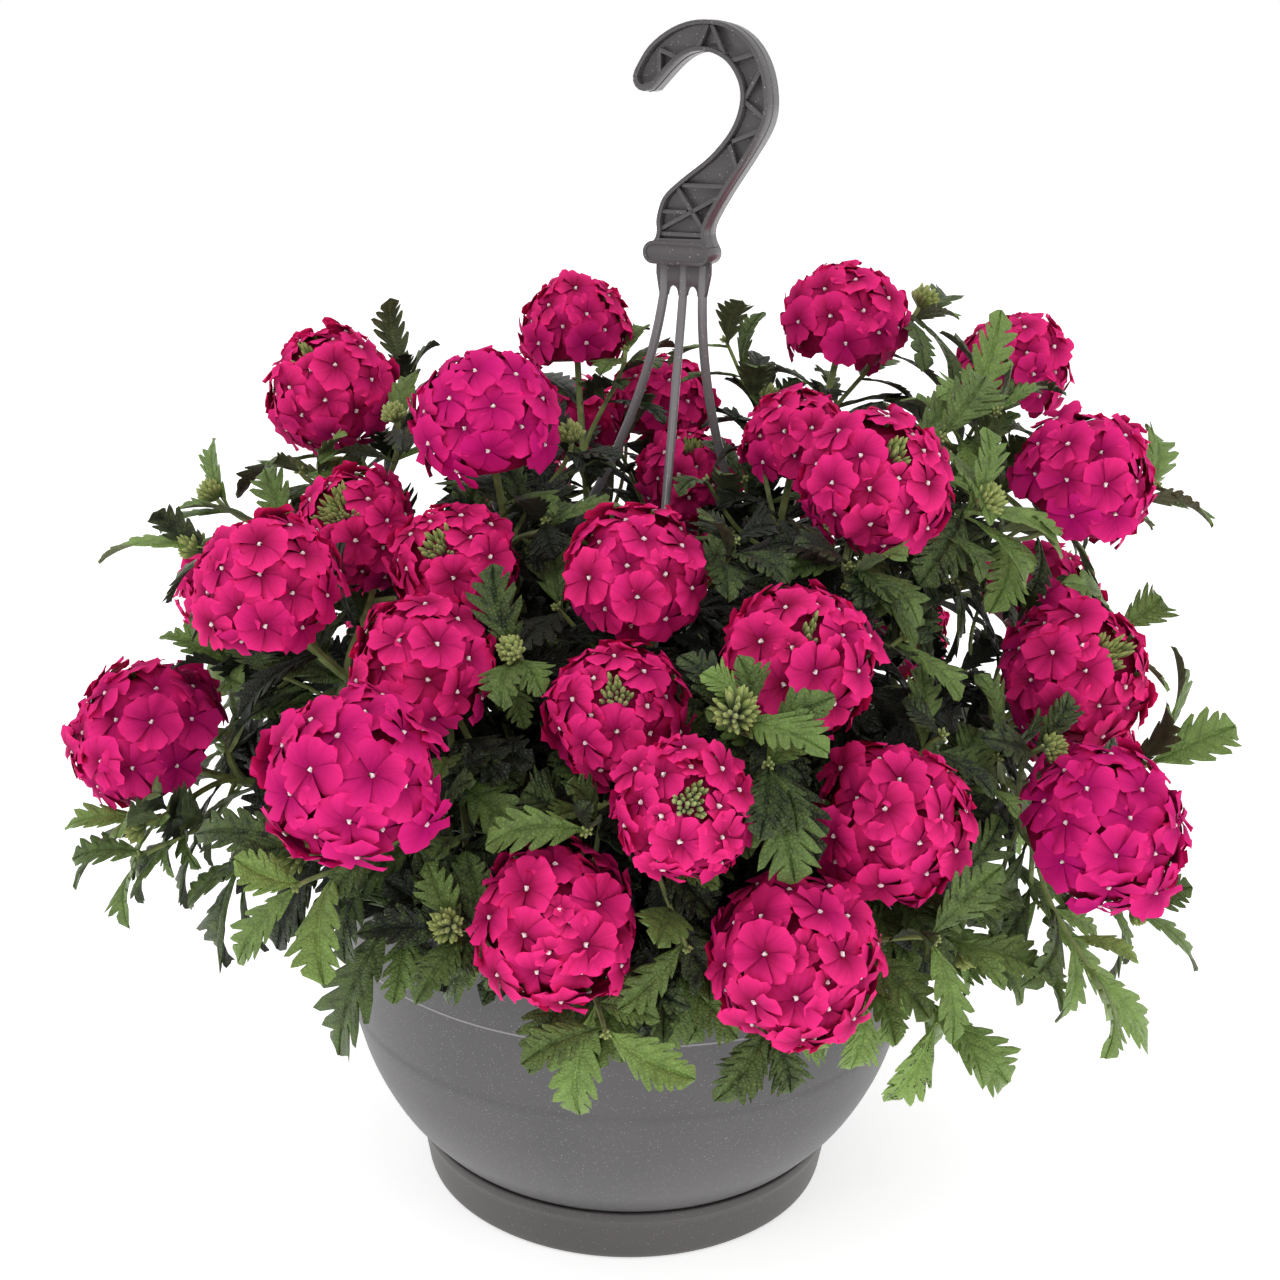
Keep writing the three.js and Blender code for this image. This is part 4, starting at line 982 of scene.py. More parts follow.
def twigCourse(fork, place):
    start, rise = fork
    end = np.array(place, float)
    far = np.linalg.norm(end - start)
    steep = min(max((end[2] - 180) / 80, -0.7), 2)
    outward = unit((end[0], end[1], 0))
    outward = unit((outward[0], outward[1], steep))
    return start, start + rise * far * 0.3, end - outward * far * 0.3, end


def growStems(heads, twigs, finder):
    stems = []
    for place in heads:
        forks = forksOf(stems) if stems else [(holeOf(heads), np.array((0, 0, 1.0)))]
        kind = "branch" if stems else "stem"
        stems.append(bestCourse([headCourse(fork, place) for fork in forks], kind, finder, not stems))
    for end, bud, tips in twigs:
        stem = bestCourse([twigCourse(fork, end) for fork in forksOf(stems)], "twig", finder)
        stems.append(stem | {"bud": bud, "tips": tips})
    return stems


def turnedAbout(vector, axis, angle):
    turned = vector * math.cos(angle) + np.cross(axis, vector) * math.sin(angle)
    return turned + axis * axis.dot(vector) * (1 - math.cos(angle))


def leafFrame(base, tip):
    # along the rib, to its side, and out of its upper face
    along = unit(tip - base)
    middle = (base + tip) / 2 - plantShape["heart"]
    face = unit(middle - along * middle.dot(along))
    return along, np.cross(face, along), face


def ribPoint(base, along, face, length, u):
    return base + along * u * length + face * 4 * u * (1 - u) * plantShape["arch"] * length


# of the solids' leaves: places along the rib, and how wide the blade is there
bladeEdge = [(0.36, 0.86), (0.46, 0.5), (0.68, 1), (0.78, 0.46)]


def twigLeaves(stem, finder):
    # the base, tip and width of each leaf, as the solid has them
    points, bud = stem["points"], stem["bud"]
    back = unit(points[-2] - points[-1])
    leaves = []
    for place, (x, y, z, width) in enumerate(stem["tips"]):
        far = plantShape["firstLeaf"] + bud * plantShape["budSize"] + plantShape["leafStep"] * place
        base = points[-1] + back * far
        reach = np.array((x, y, z)) - base
        axis = unit(np.cross(np.cross(reach, (0, 0, 1)), reach))
        best = None
        for attempt, swing in enumerate((0, 1, -1, 2, -2, 3, -3, 4, -4)):
            shorter = reach * (1 - attempt * plantShape["leafShorten"])
            tip = base + turnedAbout(shorter, axis, swing * plantShape["leafTurn"])
            along, side, face = leafFrame(base, tip)
            length = np.linalg.norm(tip - base)
            corners = [tip]
            for u, out in bladeEdge:
                rib = ribPoint(base, along, face, length, u)
                half = out * width / 2
                corners += [rib + side * hand * half + face * plantShape["fold"] * half for hand in (-1, 1)]
            off = misfit(corners, finder)
            if best is None or off < best[0]:
                best = (off, base, tip, width)
        leaves.append(best)
    return leaves


patternSpan = 900  # mm over which the patterns of the petals and leaves differ


@lru_cache
def sheetFaces(rows, cols):
    # triangles of a thin sheet: its upper face, and an underside that shares the edge and has one middle line
    upper, under = [], []
    at = lambda r, c: r * cols + c
    middle = lambda r: rows * cols + r - 1
    last = cols - 1
    for r in range(rows - 1):
        for c in range(last):
            upper += [(at(r, c), at(r + 1, c), at(r + 1, c + 1)), (at(r, c), at(r + 1, c + 1), at(r, c + 1))]
    for r in range(1, rows - 2):
        under += [(at(r, 0), middle(r), middle(r + 1)), (at(r, 0), middle(r + 1), at(r + 1, 0))]
        under += [(middle(r), at(r, last), at(r + 1, last)), (middle(r), at(r + 1, last), middle(r + 1))]
    end = rows - 1
    for c in range(last):
        under.append((at(0, c), at(0, c + 1), middle(1)))
        under.append((at(end, c + 1), at(end, c), middle(end - 1)))
    under += [(at(0, 0), middle(1), at(1, 0)), (at(0, last), at(1, last), middle(1))]
    under.append((at(end, 0), at(end - 1, 0), middle(end - 1)))
    under.append((at(end, last), middle(end - 1), at(end - 1, last)))
    return np.array(upper), np.array(under)


def addSheet(piece, grid, thickness, basis, origin, finishPair, reach, tone, seed):
    # grid: rows x cols x 3, in the sheet's own frame (along, aside, up)
    rows, cols = grid.shape[:2]
    flat = grid.reshape(-1, 3)
    under = grid[1:-1, cols // 2] - (0, 0, thickness)
    local = np.concatenate([flat, under])
    reach = np.concatenate([reach.ravel(), reach[1:-1, cols // 2]])
    upper, lower = sheetFaces(rows, cols)
    place = local.copy()
    place[:, 2] = seed
    patches = [(faces, finish, local[:, :2]) for faces, finish in zip((upper, lower), finishPair)]
    piece.add(local @ basis + origin, patches, reach, tone, place)


leafShape = {
    # lobes on each side, and the profile of a lobe as place, reach and vein
    "fine": (5, ((0, 0, 0), (0.2, 0.72, 0), (0.55, 1, 1), (0.87, 0.76, 0))),
    "broad": (4, ((0, 0, 0), (0.22, 0.66, 0), (0.58, 1, 1), (0.88, 0.7, 0))),
    "middling": (4, ((0, 0, 0), (0.3, 0.88, 0), (0.75, 0.95, 1))),
    "plain": (3, ((0, 0, 0), (0.3, 0.9, 0), (0.75, 0.95, 0))),
    "columns": ((0, 0), (0.36, 0), (1, 0.08), (1, 1)),  # shares of the solid middle and of the lobe
    "plainColumns": ((0, 0), (1, 0), (1, 1)),
    "lobed": (0.1, 0.8),  # where along the rib the lobes stand
    "tip": ((0.8, 0.0), (0.83, 0.68), (0.9, 1.0), (0.96, 0.88), (1, 0.5)),  # the end lobe
    "outline": (
        (0, 0.08), (0.07, 0.13), (0.16, 0.5), (0.3, 0.88), (0.44, 1), (0.58, 0.96), (0.7, 0.8), (0.8, 0.66),
        (0.88, 0.56), (0.94, 0.4), (1, 0.1),
    ),
    "cut": (0.42, 0.66),  # depth of the notches, as a share of the half width
    "veinLean": 0.75,  # how far veins and lobes point forward
    "lobeLean": 1.0,
    "thickness": 0.5,
    "quilt": 0.022,  # swelling between side veins, as a share of the width
    "edgeRoll": 0.05,
    "twist": 0.5,
    "weave": 0.045,
    "broadShare": 0.5,  # how many of the fine leaves are broad ones
    "uneven": (0.72, 1.12),  # reach of each lobe
    "groove": (0.02, 0.12),  # depth and width of the midrib's groove
    "sweep": 0.08,
    "tipDroop": (-0.02, 0.1),
    "veinEdge": 0.62,  # strength of a side vein beside the midrib's
    "flatFoot": 0.08,  # share of the rib below the first vein
}


@lru_cache
def leafStations(detail):
    # along the rib: place, reach of the lobe there, side vein, which lobe, and the width of the blade
    lobes, profile = leafShape[detail]
    low, high = leafShape["lobed"]
    step = (high - low) / lobes
    rows = [(0, 0.3, 0, 0), (0.05, 0.3, 0, 0)]
    for k in range(lobes):
        rows += [(low + (k + place) * step, out, vein, k) for place, out, vein in profile]
    tip = leafShape["tip"] if detail in ("fine", "broad") else leafShape["tip"][::2]
    rows += [(place, out, 0, lobes) for place, out in tip]
    rows = np.array(rows, float)
    outline = np.array(leafShape["outline"])
    wide = np.interp(rows[:, 0], outline[:, 0], outline[:, 1])
    columns = leafShape["plainColumns" if detail == "plain" else "columns"]
    left, right = ([(hand, *column) for column in columns[1:]] for hand in (-1, 1))
    across = left[::-1] + [(0, 0, 0)] + right
    return rows, wide[:, None], np.array(across, float)


def addLeaf(piece, base, tip, width, draw, tone, detail="fine"):
    length = np.linalg.norm(tip - base)
    if detail == "fine" and draw.uniform() < leafShape["broadShare"]:
        detail = "broad"
    rows, wide, across = leafStations(detail)
    u, out, vein = (rows[:, k][:, None] for k in range(3))
    hand, inShare, lobeShare = (across[:, k][None, :] for k in range(3))
    cut = draw.uniform(*leafShape["cut"])
    uneven = draw.uniform(*leafShape["uneven"], (int(rows[-1, 3]) + 1, 2))[rows[:, 3].astype(int)]
    uneven = np.where(hand < 0, uneven[:, :1], uneven[:, 1:])
    half = width / 2 * wide
    solid = half * (1 - cut)
    lobe = half * cut * (0.1 + 1.05 * out * uneven)
    inward = solid * inShare
    outward = lobe * lobeShare
    ends = np.clip((1 - u) * 3.4, 0, 1) * np.clip(u * 9, 0, 1)
    along = u * length + (leafShape["veinLean"] * inward + leafShape["lobeLean"] * outward) * ends
    aside = hand * (inward + outward)
    spread = 0.55 * inShare + 0.45 * lobeShare
    lift = 4 * u * (1 - u) * plantShape["arch"] * length + plantShape["fold"] * np.abs(aside)
    veined = u > leafShape["flatFoot"]
    puff = (1 - vein) * np.sin(np.pi * np.clip(spread * 1.1, 0, 1)) * veined
    lift = lift + leafShape["quilt"] * width * puff
    lift -= leafShape["edgeRoll"] * width * lobeShare
    depth, reach = leafShape["groove"]
    lift -= depth * width * np.exp(-((spread / reach) ** 2)) * veined
    lift += leafShape["weave"] * width * np.sin(7 * u + 2 * hand + draw.uniform(0, 6)) * spread
    lift -= draw.uniform(*leafShape["tipDroop"]) * length * np.clip(u - 0.55, 0, 1) * 4 * (u - 0.5)
    sweep = draw.uniform(-leafShape["sweep"], leafShape["sweep"]) * length * 4 * u * (1 - u)
    turn = draw.uniform(-1, 1) * leafShape["twist"] * (u - 0.3)
    aside, lift = aside * np.cos(turn) - lift * np.sin(turn) * 0.3, lift + aside * np.sin(turn)
    grid = np.stack([along, aside + sweep, lift], 2)
    ribs = np.where(hand == 0, 1.0, leafShape["veinEdge"] * vein * (lobeShare < 0.9))
    basis, pair = np.stack(leafFrame(base, tip)), ("leaf", "underleaf")
    addSheet(piece, grid, leafShape["thickness"], basis, base, pair, ribs, tone, draw.uniform(0, patternSpan))


def addTube(piece, points, radii, finish, sides=8, square=0.0, reach=0.0):
    # a stem through these points; square gives it four soft corners
    points = np.asarray(points, float)
    along = np.gradient(points, axis=0)
    rings = []
    side = unit(np.cross((0.8, 0.6, 0.05), along[0]))
    for point, way, radius in zip(points, along, radii):
        way = unit(way)
        side = unit(side - way * side.dot(way))
        other = np.cross(way, side)
        for k in range(sides):
            turn = k * fullTurn / sides
            out = radius * (1 + square * math.cos(4 * turn))
            rings.append(point + out * (side * math.cos(turn) + other * math.sin(turn)))
    count = len(points)
    triangles = []
    for i in range(count - 1):
        for k in range(sides):
            a, b = i * sides + k, i * sides + (k + 1) % sides
            triangles += [(a, b, b + sides), (a, b + sides, a + sides)]
    flat = [(k * 1.0, i * 2.0) for i in range(count) for k in range(sides)]
    last = (count - 1) * sides
    triangles += [(0, k + 1, k) for k in range(1, sides - 1)]
    triangles += [(last, last + k, last + k + 1) for k in range(1, sides - 1)]
    piece.add(rings, [(triangles, finish, flat)], reach=np.repeat(reach, sides) if np.ndim(reach) else reach)


def addSpindle(piece, base, way, length, radius, sides=5):
    # a shut bud: slim below, fullest and palest near its blunt tip
    far, wide, pale = np.array([(0, 0.45, 0), (0.66, 1, 0.4), (0.88, 0.72, 0.8), (1, 0.2, 1)]).T
    addTube(piece, [base + way * length * f for f in far], radius * wide, "bud", sides, reach=pale)


headHint = (0.2, 0.3, 0.93)  # a way that no head faces


def aroundAxis(axis, angle, turn):
    side, other = acrossFrom(axis, headHint)
    return axis * math.cos(angle) + math.sin(angle) * (side * math.cos(turn) + other * math.sin(turn))


def spreadWays(axis, count, cap, start, inner=0):
    high, low = math.cos(math.radians(inner)), math.cos(math.radians(cap))
    heights = high - (high - low) * (np.arange(count) + 0.5) / count
    return [aroundAxis(axis, math.acos(h), start + i * goldenTurn) for i, h in enumerate(heights)]


budShape = {
    "count": 46,
    "cap": 92,  # degrees from the top of the head to its last buds
    "width": 1.0,  # mm
    "spread": 0.16,  # how unevenly they stand
    "root": 0.55,  # where they start and end, as shares of the head's reach
    "foot": 0.12,
    "tip": (0.82, 1.04),
}
knobShape = {"count": 7, "cap": 75, "size": 2.7, "width": 0.7}  # degrees and mm


def addBudHead(piece, centre, width, axis, draw):
    # young florets, shut, that radiate from the top of the stem
    reach = width * plantShape["budSize"]
    root = centre - axis * reach * budShape["root"]
    for way in spreadWays(axis, budShape["count"], budShape["cap"], draw.uniform(0, 6)):
        way = unit(way + draw.uniform(-1, 1, 3) * budShape["spread"])
        tip = centre + way * reach * draw.uniform(*budShape["tip"])
        base = root + way * reach * budShape["foot"]
        width = budShape["width"] * draw.uniform(0.85, 1.2)
        addSpindle(piece, base, unit(tip - base), np.linalg.norm(tip - base), width)


def addKnob(piece, centre, axis, draw):
    # the growing tip of a shoot: a few tiny leaves, still folded
    for way in spreadWays(axis, knobShape["count"], knobShape["cap"], draw.uniform(0, 6)):
        length = knobShape["size"] * draw.uniform(0.8, 1.2)
        addSpindle(piece, centre - axis, way, length, knobShape["width"], 4)


hairShape = {"perMillimetre": 0.6, "length": 1.1, "radius": 0.07}


def addHairs(piece, points, radii, draw):
    layout = [(0, 0), (0.3, 0), (0, 0.3), (0.3, 0.3)]
    for i, step in enumerate(stepsOf(points)):
        way = unit(points[i + 1] - points[i])
        for _ in range(int(step * hairShape["perMillimetre"])):
            t = draw.uniform()
            out = unit(np.cross(way, draw.normal(size=3)))
            root = points[i] * (1 - t) + points[i + 1] * t + out * radii[i] * 0.8
            tip = root + (out + way * 0.2) * hairShape["length"] * draw.uniform(0.6, 1.1)
            side = np.cross(out, way) * hairShape["radius"]
            lift = way * hairShape["radius"]
            corners = [root + side, root - side * 0.5 + lift, root - side * 0.5 - lift, tip]
            piece.add(corners, [([(0, 1, 2), (0, 3, 1), (1, 3, 2), (2, 3, 0)], "hair", layout)])


# leaf pairs: mm from the stem's foot, width as a share of the length, and rise in degrees
pairShape = {"clearOfFoot": 12, "width": 0.49, "rise": (10, 50)}
stemPairs = (22, 19, (35, 51))  # mm from the head, between pairs, and the length of the leaves
twigPairs = (10, 16, (28, 40))
sprigShape = {
    "perStem": 4,
    "length": (36, 62),
    "step": 13,  # mm between its pairs of leaves
    "leaf": (27, 41),  # length of a leaf
    "tries": 12,
    "inner": (0.64, 0.88),  # deeper in the plant than this, leaves are plain or middling
}
# where no extra leaf goes, as height and distance from the middle, in mm
keepOut = {
    "pot": (149, 134),
    "rim": (163, 118, 134),
    "hanger": (240, 30),
    "beforeHead": 70,
    "headShare": 0.4,  # how much of a head's width is kept clear in front of it
}
# a plant reaches this far out from its middle, and this far up from this height
plantReach = {"out": 215, "from": 140, "up": 240}

allHeads = np.array([head for _, heads, _ in shoots for head in heads], float)
headFaces = allHeads[:, :3] - (0, 0, 150)
headFaces /= np.linalg.norm(headFaces, axis=1)[:, None]
roomLow, roomHigh = np.array(cadLow) / mm, np.array(cadHigh) / mm


def leafFits(base, tip, width):
    # keeps extra leaves out of the flowers, off the pot and inside the plant's own reach
    along, side, face = leafFrame(base, tip)
    length = np.linalg.norm(tip - base)
    rimHeight, rimInside, rimOutside = keepOut["rim"]
    for u in (0.35, 0.6, 0.8, 1.0):
        rib = ribPoint(base, along, face, length, u)
        for out in (-0.4, 0, 0.4):
            point = rib + side * out * width * (1 if u < 0.9 else 0)
            away = point - allHeads[:, :3]
            far = np.linalg.norm(away, axis=1)
            ahead = (away * headFaces).sum(1)
            if np.any(far < allHeads[:, 3] / 2 + 1):
                return False
            before = (ahead > 0) & (ahead < keepOut["beforeHead"])
            if np.any(before & (far**2 - ahead**2 < (keepOut["headShare"] * allHeads[:, 3]) ** 2)):
                return False
            if np.any(point < roomLow + 1) or np.any(point > roomHigh - 1):
                return False
            spread = math.hypot(point[0], point[1])
            if point[2] < keepOut["pot"][0] and spread < keepOut["pot"][1]:
                return False
            if point[2] < rimHeight and rimInside < spread < rimOutside:
                return False
            if point[2] > keepOut["hanger"][0] and spread < keepOut["hanger"][1]:
                return False
    return True


def pairedLeaves(points, draw, fromEnd, between, lengths):
    # opposite leaves up a stem, each pair at right angles to the pair before
    travel = np.concatenate([[0], np.cumsum(stepsOf(points))])
    whole = travel[-1]
    place, turn, leaves = whole - fromEnd, draw.uniform(0, 3), []
    while place > min(pairShape["clearOfFoot"], whole * 0.3):
        base = np.array([np.interp(place, travel, points[:, k]) for k in range(3)])
        ahead = np.array([np.interp(place + 1, travel, points[:, k]) for k in range(3)])
        way = unit(ahead - base)
        for hand in (0, math.pi):
            for attempt in range(7):
                swing = turn + hand + (attempt // 2 + 1) * 0.35 * (-1) ** attempt * (attempt > 0)
                out = unit(np.cross(way, (0.3, 0.5, 0.2)))
                out = turnedAbout(out, way, swing)
                rise = math.radians(draw.uniform(*pairShape["rise"]))
                length = draw.uniform(*lengths) * (1 - 0.06 * attempt)
                reach = (out * math.cos(rise) + way * math.sin(rise)) * length
                tip = base + reach - np.array((0, 0, 0.12 * length))
                width = pairShape["width"] * length * draw.uniform(0.85, 1.15)
                if leafFits(base, tip, width):
                    leaves.append((base, tip, width))
                    break
        place -= between * draw.uniform(0.85, 1.2)
        turn += math.pi / 2 + draw.uniform(-0.3, 0.3)
    return leaves


def innerShare(point):
    # 0 in the heart of the plant, about 1 at its surface
    spread = math.hypot(point[0], point[1])
    overRim = min(max((190 - point[2]) / 40, 0), 1) * (spread - 55) / 95
    above = (point[2] - plantReach["from"]) / plantReach["up"]
    return max(math.hypot(spread / plantReach["out"], above), overRim)


def detailAt(depth):
    plainBelow, middlingBelow = sprigShape["inner"]
    return "plain" if depth < plainBelow else "middling" if depth < middlingBelow else "fine"


def leafToneWithShade(depth, tip, draw):
    # painted shade: darker towards the heart of the plant, where shade falls between the leaves; and fresh
    # yellow-green low on the right
    fresh = min(max((tip[0] - 60) / 40, 0), 1) * min(max((165 - tip[2]) / 40, 0), 1)
    return draw.uniform(-0.16, 0.36) + 1.35 * (min(depth, 1) - 0.96) + 0.3 * fresh


def sideSprigs(points, draw):
    # short leafy side shoots that fill the plant between its flower stems
    sprigs = []
    for share in np.linspace(0.22, 0.82, sprigShape["perStem"]):
        i = int(share * (len(points) - 1))
        start, way = points[i], unit(points[i + 1] - points[i])
        turn = draw.uniform(0, fullTurn)
        for attempt in range(sprigShape["tries"]):
            out = turnedAbout(unit(np.cross(way, (0.3, 0.5, 0.2))), way, turn + attempt * goldenTurn)
            length = draw.uniform(*sprigShape["length"]) * (1 - 0.05 * attempt)
            end = start + unit(out + way * 0.5 + np.array((0, 0, 0.25))) * length
            course = bezier((start, start + out * length * 0.4, end - unit(out + way) * length * 0.3, end), 7)
            if all(leafFits(point, point + (0.1, 0.1, 0.1), 4) for point in course[2:]):
                sprigs.append(course)
                break
    return sprigs


def makeShoots():
    worst, leafCount = 0, 0
    for number, (name, heads, twigs) in enumerate(shoots):
        draw = np.random.RandomState(100 + number)
        node = "shoot_" + name
        finder = pointFinder(node)
        pieceName = "leafyShoot" + "".join(word.capitalize() for word in name.split("_"))
        piece = Piece(pieceName, ["stem", "leaf", "underleaf", "bud", "hair"])
        for stem in growStems(heads, twigs, finder):
            worst = max(worst, stem["off"])
            isTwig = stem["kind"] == "twig"
            points = bezier(stem["corners"], 10 if isTwig else 18)
            thick, thin = plantShape["radii"][stem["kind"]]
            radii = np.linspace(thick, thin, len(points))
            if stem["kind"] == "stem":
                points = np.concatenate([[points[0] - (0, 0, 12)], points])
                radii = np.concatenate([[thick], radii])
            addTube(piece, points, radii, "stem", 8, 0.07)
            half = len(points) // 2
            addHairs(piece, points[half:], radii[half:], draw)
            if isTwig:
                for off, base, tip, width in twigLeaves(stem, finder):
                    worst = max(worst, off if off < 0.5 else 0)
                    addLeaf(piece, base, tip, width, draw, leafToneWithShade(innerShare((base + tip) / 2), tip, draw))
                    leafCount += 1
                axis = unit(points[-1] - points[-2])
                if stem["bud"]:
                    addBudHead(piece, points[-1], stem["bud"], axis, draw)
                else:
                    addKnob(piece, points[-1], axis, draw)
                leaves = pairedLeaves(points, draw, *twigPairs)
            else:
                leaves = pairedLeaves(points, draw, *stemPairs)
                for sprig in sideSprigs(points, draw):
                    addTube(piece, sprig, np.linspace(1.1, 0.8, len(sprig)), "stem", 6, 0.05)
                    addKnob(piece, sprig[-1], unit(sprig[-1] - sprig[-2]), draw)
                    leaves += pairedLeaves(sprig, draw, 3, sprigShape["step"], sprigShape["leaf"])
            for base, tip, width in leaves:
                depth = innerShare((base + tip) / 2)
                addLeaf(piece, base, tip, width, draw, leafToneWithShade(depth, tip, draw), detailAt(depth))
                leafCount += 1
        settle(piece.make(), node)
    print("shoots made:", leafCount, "leaves; furthest stem or leaf from its solid: %.2f mm" % worst)


makeShoots()

petalShape = {
    "fine": (5, 9),  # rows and columns
    "plain": (4, 5),
    "crowding": 0.85,  # below 1, rows stand closer towards the rim
    "start": 0.9,  # mm from the floret's middle
    "width": 0.56,  # half width, and what follows, as shares of the length
    "notch": 0.1,
    "notchWidth": 0.24,
    "cornerRound": 0.32,
    "edgeWaves": ((0.03, 5), (0.022, 11)),  # height, and turns across half the petal
    "overlap": 0.2,  # roll of each petal over its neighbour, in radians
    "tilt": (-0.16, 0.08),
    "droop": 5.2,
    "throat": (1.1, 1.8),  # mm deep and wide
    "swell": 0.05,
    "ruffles": ((0.06, 4.4, 2), (0.03, 9, 4)),  # height, turns, and how much they keep to the rim
    "thickness": 0.35,  # mm
}
floretShape = {
    "count": 29,
    "cap": 115,  # degrees from the top of the head to its last florets
    "width": (0.3, 5.2),  # share of the head's diameter, and mm
    "lean": 0.25,
    "eye": 0.95,
    "eyeRings": ((0.55, 0.05), (1.0, -0.75)),  # share of its width, and mm above the petals
    "layers": (0.9, 0.95, 1.0),  # florets stand at three heights, and overlap
    "inside": 0.79,  # radius of the mass of lower petals that shows between the florets
    "reachIn": 0.42,
}
# heads whose middle is in bud, by number: how wide it is in degrees, and how far the head leans to the front
openCentres = {
    1: (27, 0.7), 5: (27, 0.7), 10: (27, 0.8), 12: (35, 0.9), 13: (31, 0.9), 16: (28, 0.9), 17: (30, 0.6),
    18: (26, 0.5), 19: (29, 0.9), 24: (17, 1.2), 25: (16, 1.2), 29: (27, 0), 31: (27, 0), 33: (27, 0),
}
youngShape = {
    "gap": 5.0,  # degrees between the buds
    "radius": 1.0,  # of a bud, in mm
    "length": (0.4, 0.55),  # and where its tip is, as shares of the head's radius
    "tip": (0.82, 0.98),
    "florets": 3,  # small ones, in the largest gaps
    "size": 0.55,  # of a small floret, as a share of a full one
}
leanGain = (3, 22)  # florets and degrees that a leaning head has more, so that its back is covered too
violetHeads = {2: 0.35, 8: 0.18, 20: 0.3, 21: 0.15, 23: 0.22}  # heads that are cooler in colour


def addPetal(piece, centre, basis, length, tone, draw, detail):
    rows, cols = petalShape[detail]
    u = (np.linspace(0, 1, rows) ** petalShape["crowding"])[:, None]
    v = np.linspace(-1, 1, cols)[None, :]
    t = np.abs(v)
    start = petalShape["start"]
    notch = petalShape["notch"] * draw.uniform(0.6, 1.5)
    wave = sum(height * np.sin(turns * v + draw.uniform(0, 6)) for height, turns in petalShape["edgeWaves"])
    hollow = notch * np.exp(-((v / petalShape["notchWidth"]) ** 2))
    end = 1 - u**2 * (petalShape["cornerRound"] * t**2.4 + hollow + wave)
    out = start + (length - start) * u * end
    half = petalShape["width"] * length * (0.16 + 0.84 * (1 - (1 - u) ** 1.8)) * (1 - 0.08 * u**4)
    aside = half * v
    lift = -(out**2 + aside**2) / (length * petalShape["droop"])
    deep, wide = petalShape["throat"]
    lift -= deep * np.exp(-((out / wide) ** 2))
    lift += petalShape["swell"] * length * (np.sin(np.pi * t) * u - 0.6 * np.exp(-((v / 0.2) ** 2)) * u)
    for height, turns, power in petalShape["ruffles"]:
        lift += height * length * np.sin(turns * v + draw.uniform(0, 6)) * u**power
    roll, tilt = petalShape["overlap"] + draw.uniform(-0.06, 0.06), draw.uniform(*petalShape["tilt"])
    lift = lift + aside * math.sin(roll) - out * math.sin(tilt) * 0.7
    grid = np.stack([out, aside + 0 * out, lift], 2)
    reach, pair = np.sqrt(out**2 + aside**2) / length, ("petal", "petal")
    seed = draw.uniform(0, patternSpan)
    addSheet(piece, grid, petalShape["thickness"], basis, centre, pair, reach, tone, seed)


def addEye(piece, centre, side, other, normal, draw):
    # the pale hairy ring in the throat, in two or three beads
    sides, size = 7, floretShape["eye"] * draw.uniform(0.85, 1.15)
    start = draw.uniform(0, fullTurn)
    points = [centre - normal * 0.15]
    turns = [k * fullTurn / sides for k in range(sides)]
    for share, lift in floretShape["eyeRings"]:
        for turn in turns:
            reach = size * share * (1 + 0.3 * math.cos(3 * turn + start) + 0.2 * math.cos(2 * turn - start))
            points.append(centre + reach * (side * math.cos(turn) + other * math.sin(turn)) + normal * lift)
    points.append(centre - normal * 1.4)
    triangles = []
    for k in range(sides):
        a, b = 1 + k, 1 + (k + 1) % sides
        triangles += [(0, a, b), (a, a + sides, b + sides), (a, b + sides, b)]
        triangles.append((2 * sides + 1, b + sides, a + sides))
    rings = [(r * math.cos(turn), r * math.sin(turn)) for r in (0.6, 1.2) for turn in turns]
    piece.add(points, [(triangles, "eye", [(0, 0), *rings, (1.3, 0)])])


def addFloret(piece, heart, way, reach, size, spin, tone, draw, detail):
    # five petals round an eye, on a slender tube from the heart of the head
    centre = heart + way * reach
    normal = unit(way + draw.uniform(-floretShape["lean"], floretShape["lean"], 3))
    side, other = acrossFrom(normal, headHint)
    for k in range(5):
        turn = spin + k * fullTurn / 5 + draw.uniform(-0.06, 0.06)
        along = side * math.cos(turn) + other * math.sin(turn)
        basis = np.stack([along, np.cross(normal, along), normal])
        length, tint = size * draw.uniform(0.93, 1.06), tone + draw.uniform(-0.05, 0.05)
        addPetal(piece, centre, basis, length, tint, draw, detail)
    addEye(piece, centre - normal * 0.45, side, other, normal, draw)
    points = [heart + way * reach * share for share in (0.5, 0.8)] + [centre - normal * 1.2]
    addTube(piece, points, [1.0, 0.8, 1.1], "calyx", 3)


def addYoung(piece, heart, pole, radius, opening, size, covered, draw):
    # the middle of a head still in bud: a few small florets, and shut buds wherever no petal lies above
    for _ in range(youngShape["florets"]):
        ring = [aroundAxis(pole, math.radians(opening), turn) for turn in np.linspace(0, fullTurn, 20)]
        way = max(ring, key=lambda w: min(math.acos(min(w.dot(f), 1)) - far / radius for f, far in covered))
        small = size * youngShape["size"] * draw.uniform(0.85, 1.15)
        addFloret(piece, heart, way, radius * 0.9, small, draw.uniform(0, fullTurn), 0.05, draw, "plain")
        covered.append((way, small))
    cap = opening + 6
    count = round(2 * math.pi * (1 - math.cos(math.radians(cap))) / math.radians(youngShape["gap"]) ** 2)
    for way in spreadWays(pole, count, cap, draw.uniform(0, 6)):
        way = unit(way + draw.uniform(-0.03, 0.03, 3))
        length, tip = radius * draw.uniform(*youngShape["length"]), radius * draw.uniform(*youngShape["tip"])
        clear = (np.linalg.norm(np.cross(way * tip, f)) > far or way.dot(f) < 0 for f, far in covered)
        if all(clear):
            addSpindle(piece, heart + way * (tip - length), way, length, youngShape["radius"])


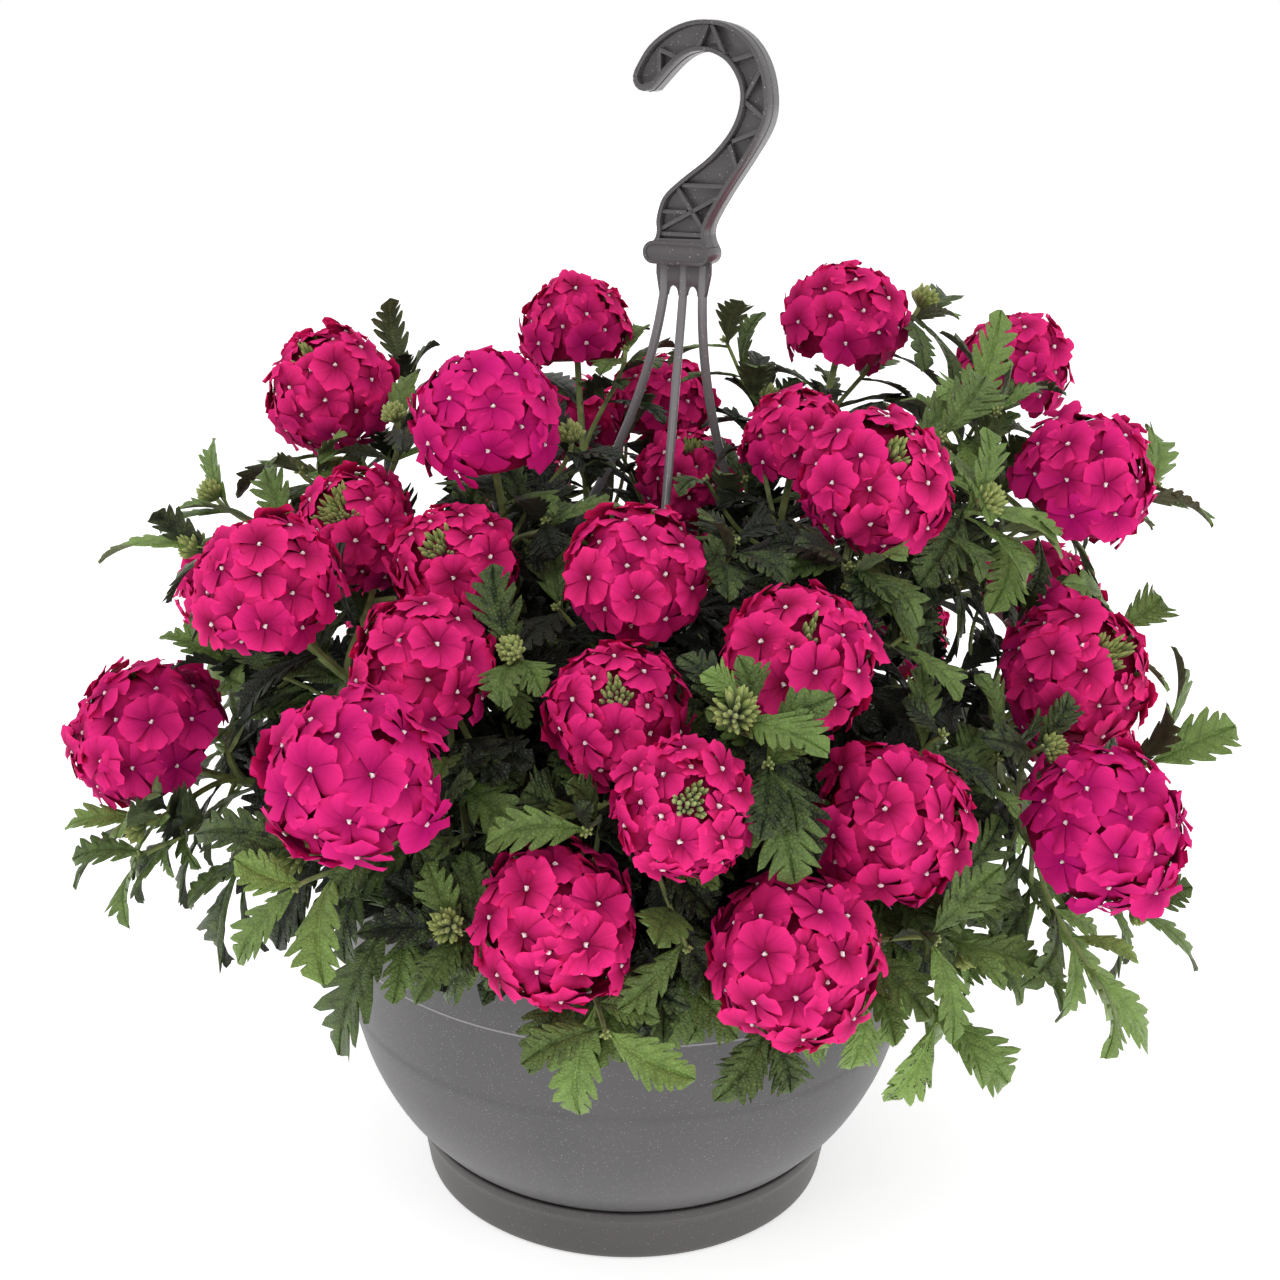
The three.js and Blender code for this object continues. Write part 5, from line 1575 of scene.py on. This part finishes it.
def makeHead(number, place):
    draw = np.random.RandomState(500 + number)
    diameter = place[3]
    radius = diameter / 2
    axis = headAxis(place)
    heart = np.array(place[:3], float)
    piece = Piece("flowerHead%02d" % number, ["petal", "eye", "calyx", "bud", "stem"])
    share, more = floretShape["width"]
    size = (diameter * share + more) / 2
    opening, lean = openCentres.get(number, (0, 0))
    pole = unit(axis - np.array((0, lean, 0)))
    count = floretShape["count"] + round(leanGain[0] * lean)
    cap = floretShape["cap"] + leanGain[1] * lean
    covered = []
    for i, way in enumerate(spreadWays(pole, count, cap, draw.uniform(0, 6), opening)):
        way = unit(way + draw.uniform(-0.07, 0.07, 3))
        reach = radius * floretShape["layers"][i % 3] - 1.2 + draw.uniform(-0.5, 0.5)
        covered.append((way, size * 0.96))
        facing = way.dot(pole)
        # florets turned away from the head's top get more of the darker violet: painted shade on the sides
        # and underside of a head; violetHeads and the random share are the heads' own colour
        tint = violetHeads.get(number, 0.04) + max(0, 0.2 - facing) * 0.5 + 0.12 * draw.uniform()
        detail = "fine" if facing > 0.08 else "plain"
        addFloret(piece, heart, way, reach, size, draw.uniform(0, fullTurn), tint, draw, detail)
    if opening:
        addYoung(piece, heart, pole, radius, opening, size, covered, draw)
    inside = radius * floretShape["inside"]
    hole = math.radians(opening * 0.8) if opening else 0.08
    arc = np.linspace(hole, 2.25, 9)
    along = [heart + pole * inside * math.cos(a) for a in arc]
    addTube(piece, along, inside * np.sin(arc), "petal", 14, reach=0.22)
    # a funnel down into an open middle, in the dark throat colour of the petals (reach 0.06): painted shade
    # in the opening
    if opening:
        hollow = inside * floretShape["reachIn"]
        middle = heart + pole * inside * math.cos(hole)
        ends = [heart - pole * hollow, middle - pole * 0.3]
        addTube(piece, ends, [hollow, inside * 0.5], "petal", 10, reach=0.06)
    foot = heart - axis * (radius * plantShape["seatReach"] + plantShape["stemGap"] - 0.4)
    addTube(piece, [foot, heart - axis * radius * 0.2], [1.7, 2.6], "stem", 8)
    settle(piece.make(), "flower_head_%02d" % number)


for number, place in enumerate((head for _, heads, _ in shoots for head in heads), 1):
    makeHead(number, place)
print("flower heads made")

shown = [o for o in scene.objects if o.type == "MESH" and o.name != "studioFloor" and "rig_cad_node" not in o]
triangleCount = sum(len(o.data.loop_triangles) or len(o.data.polygons) for o in shown)
print("pieces:", len(shown), "triangles:", triangleCount)
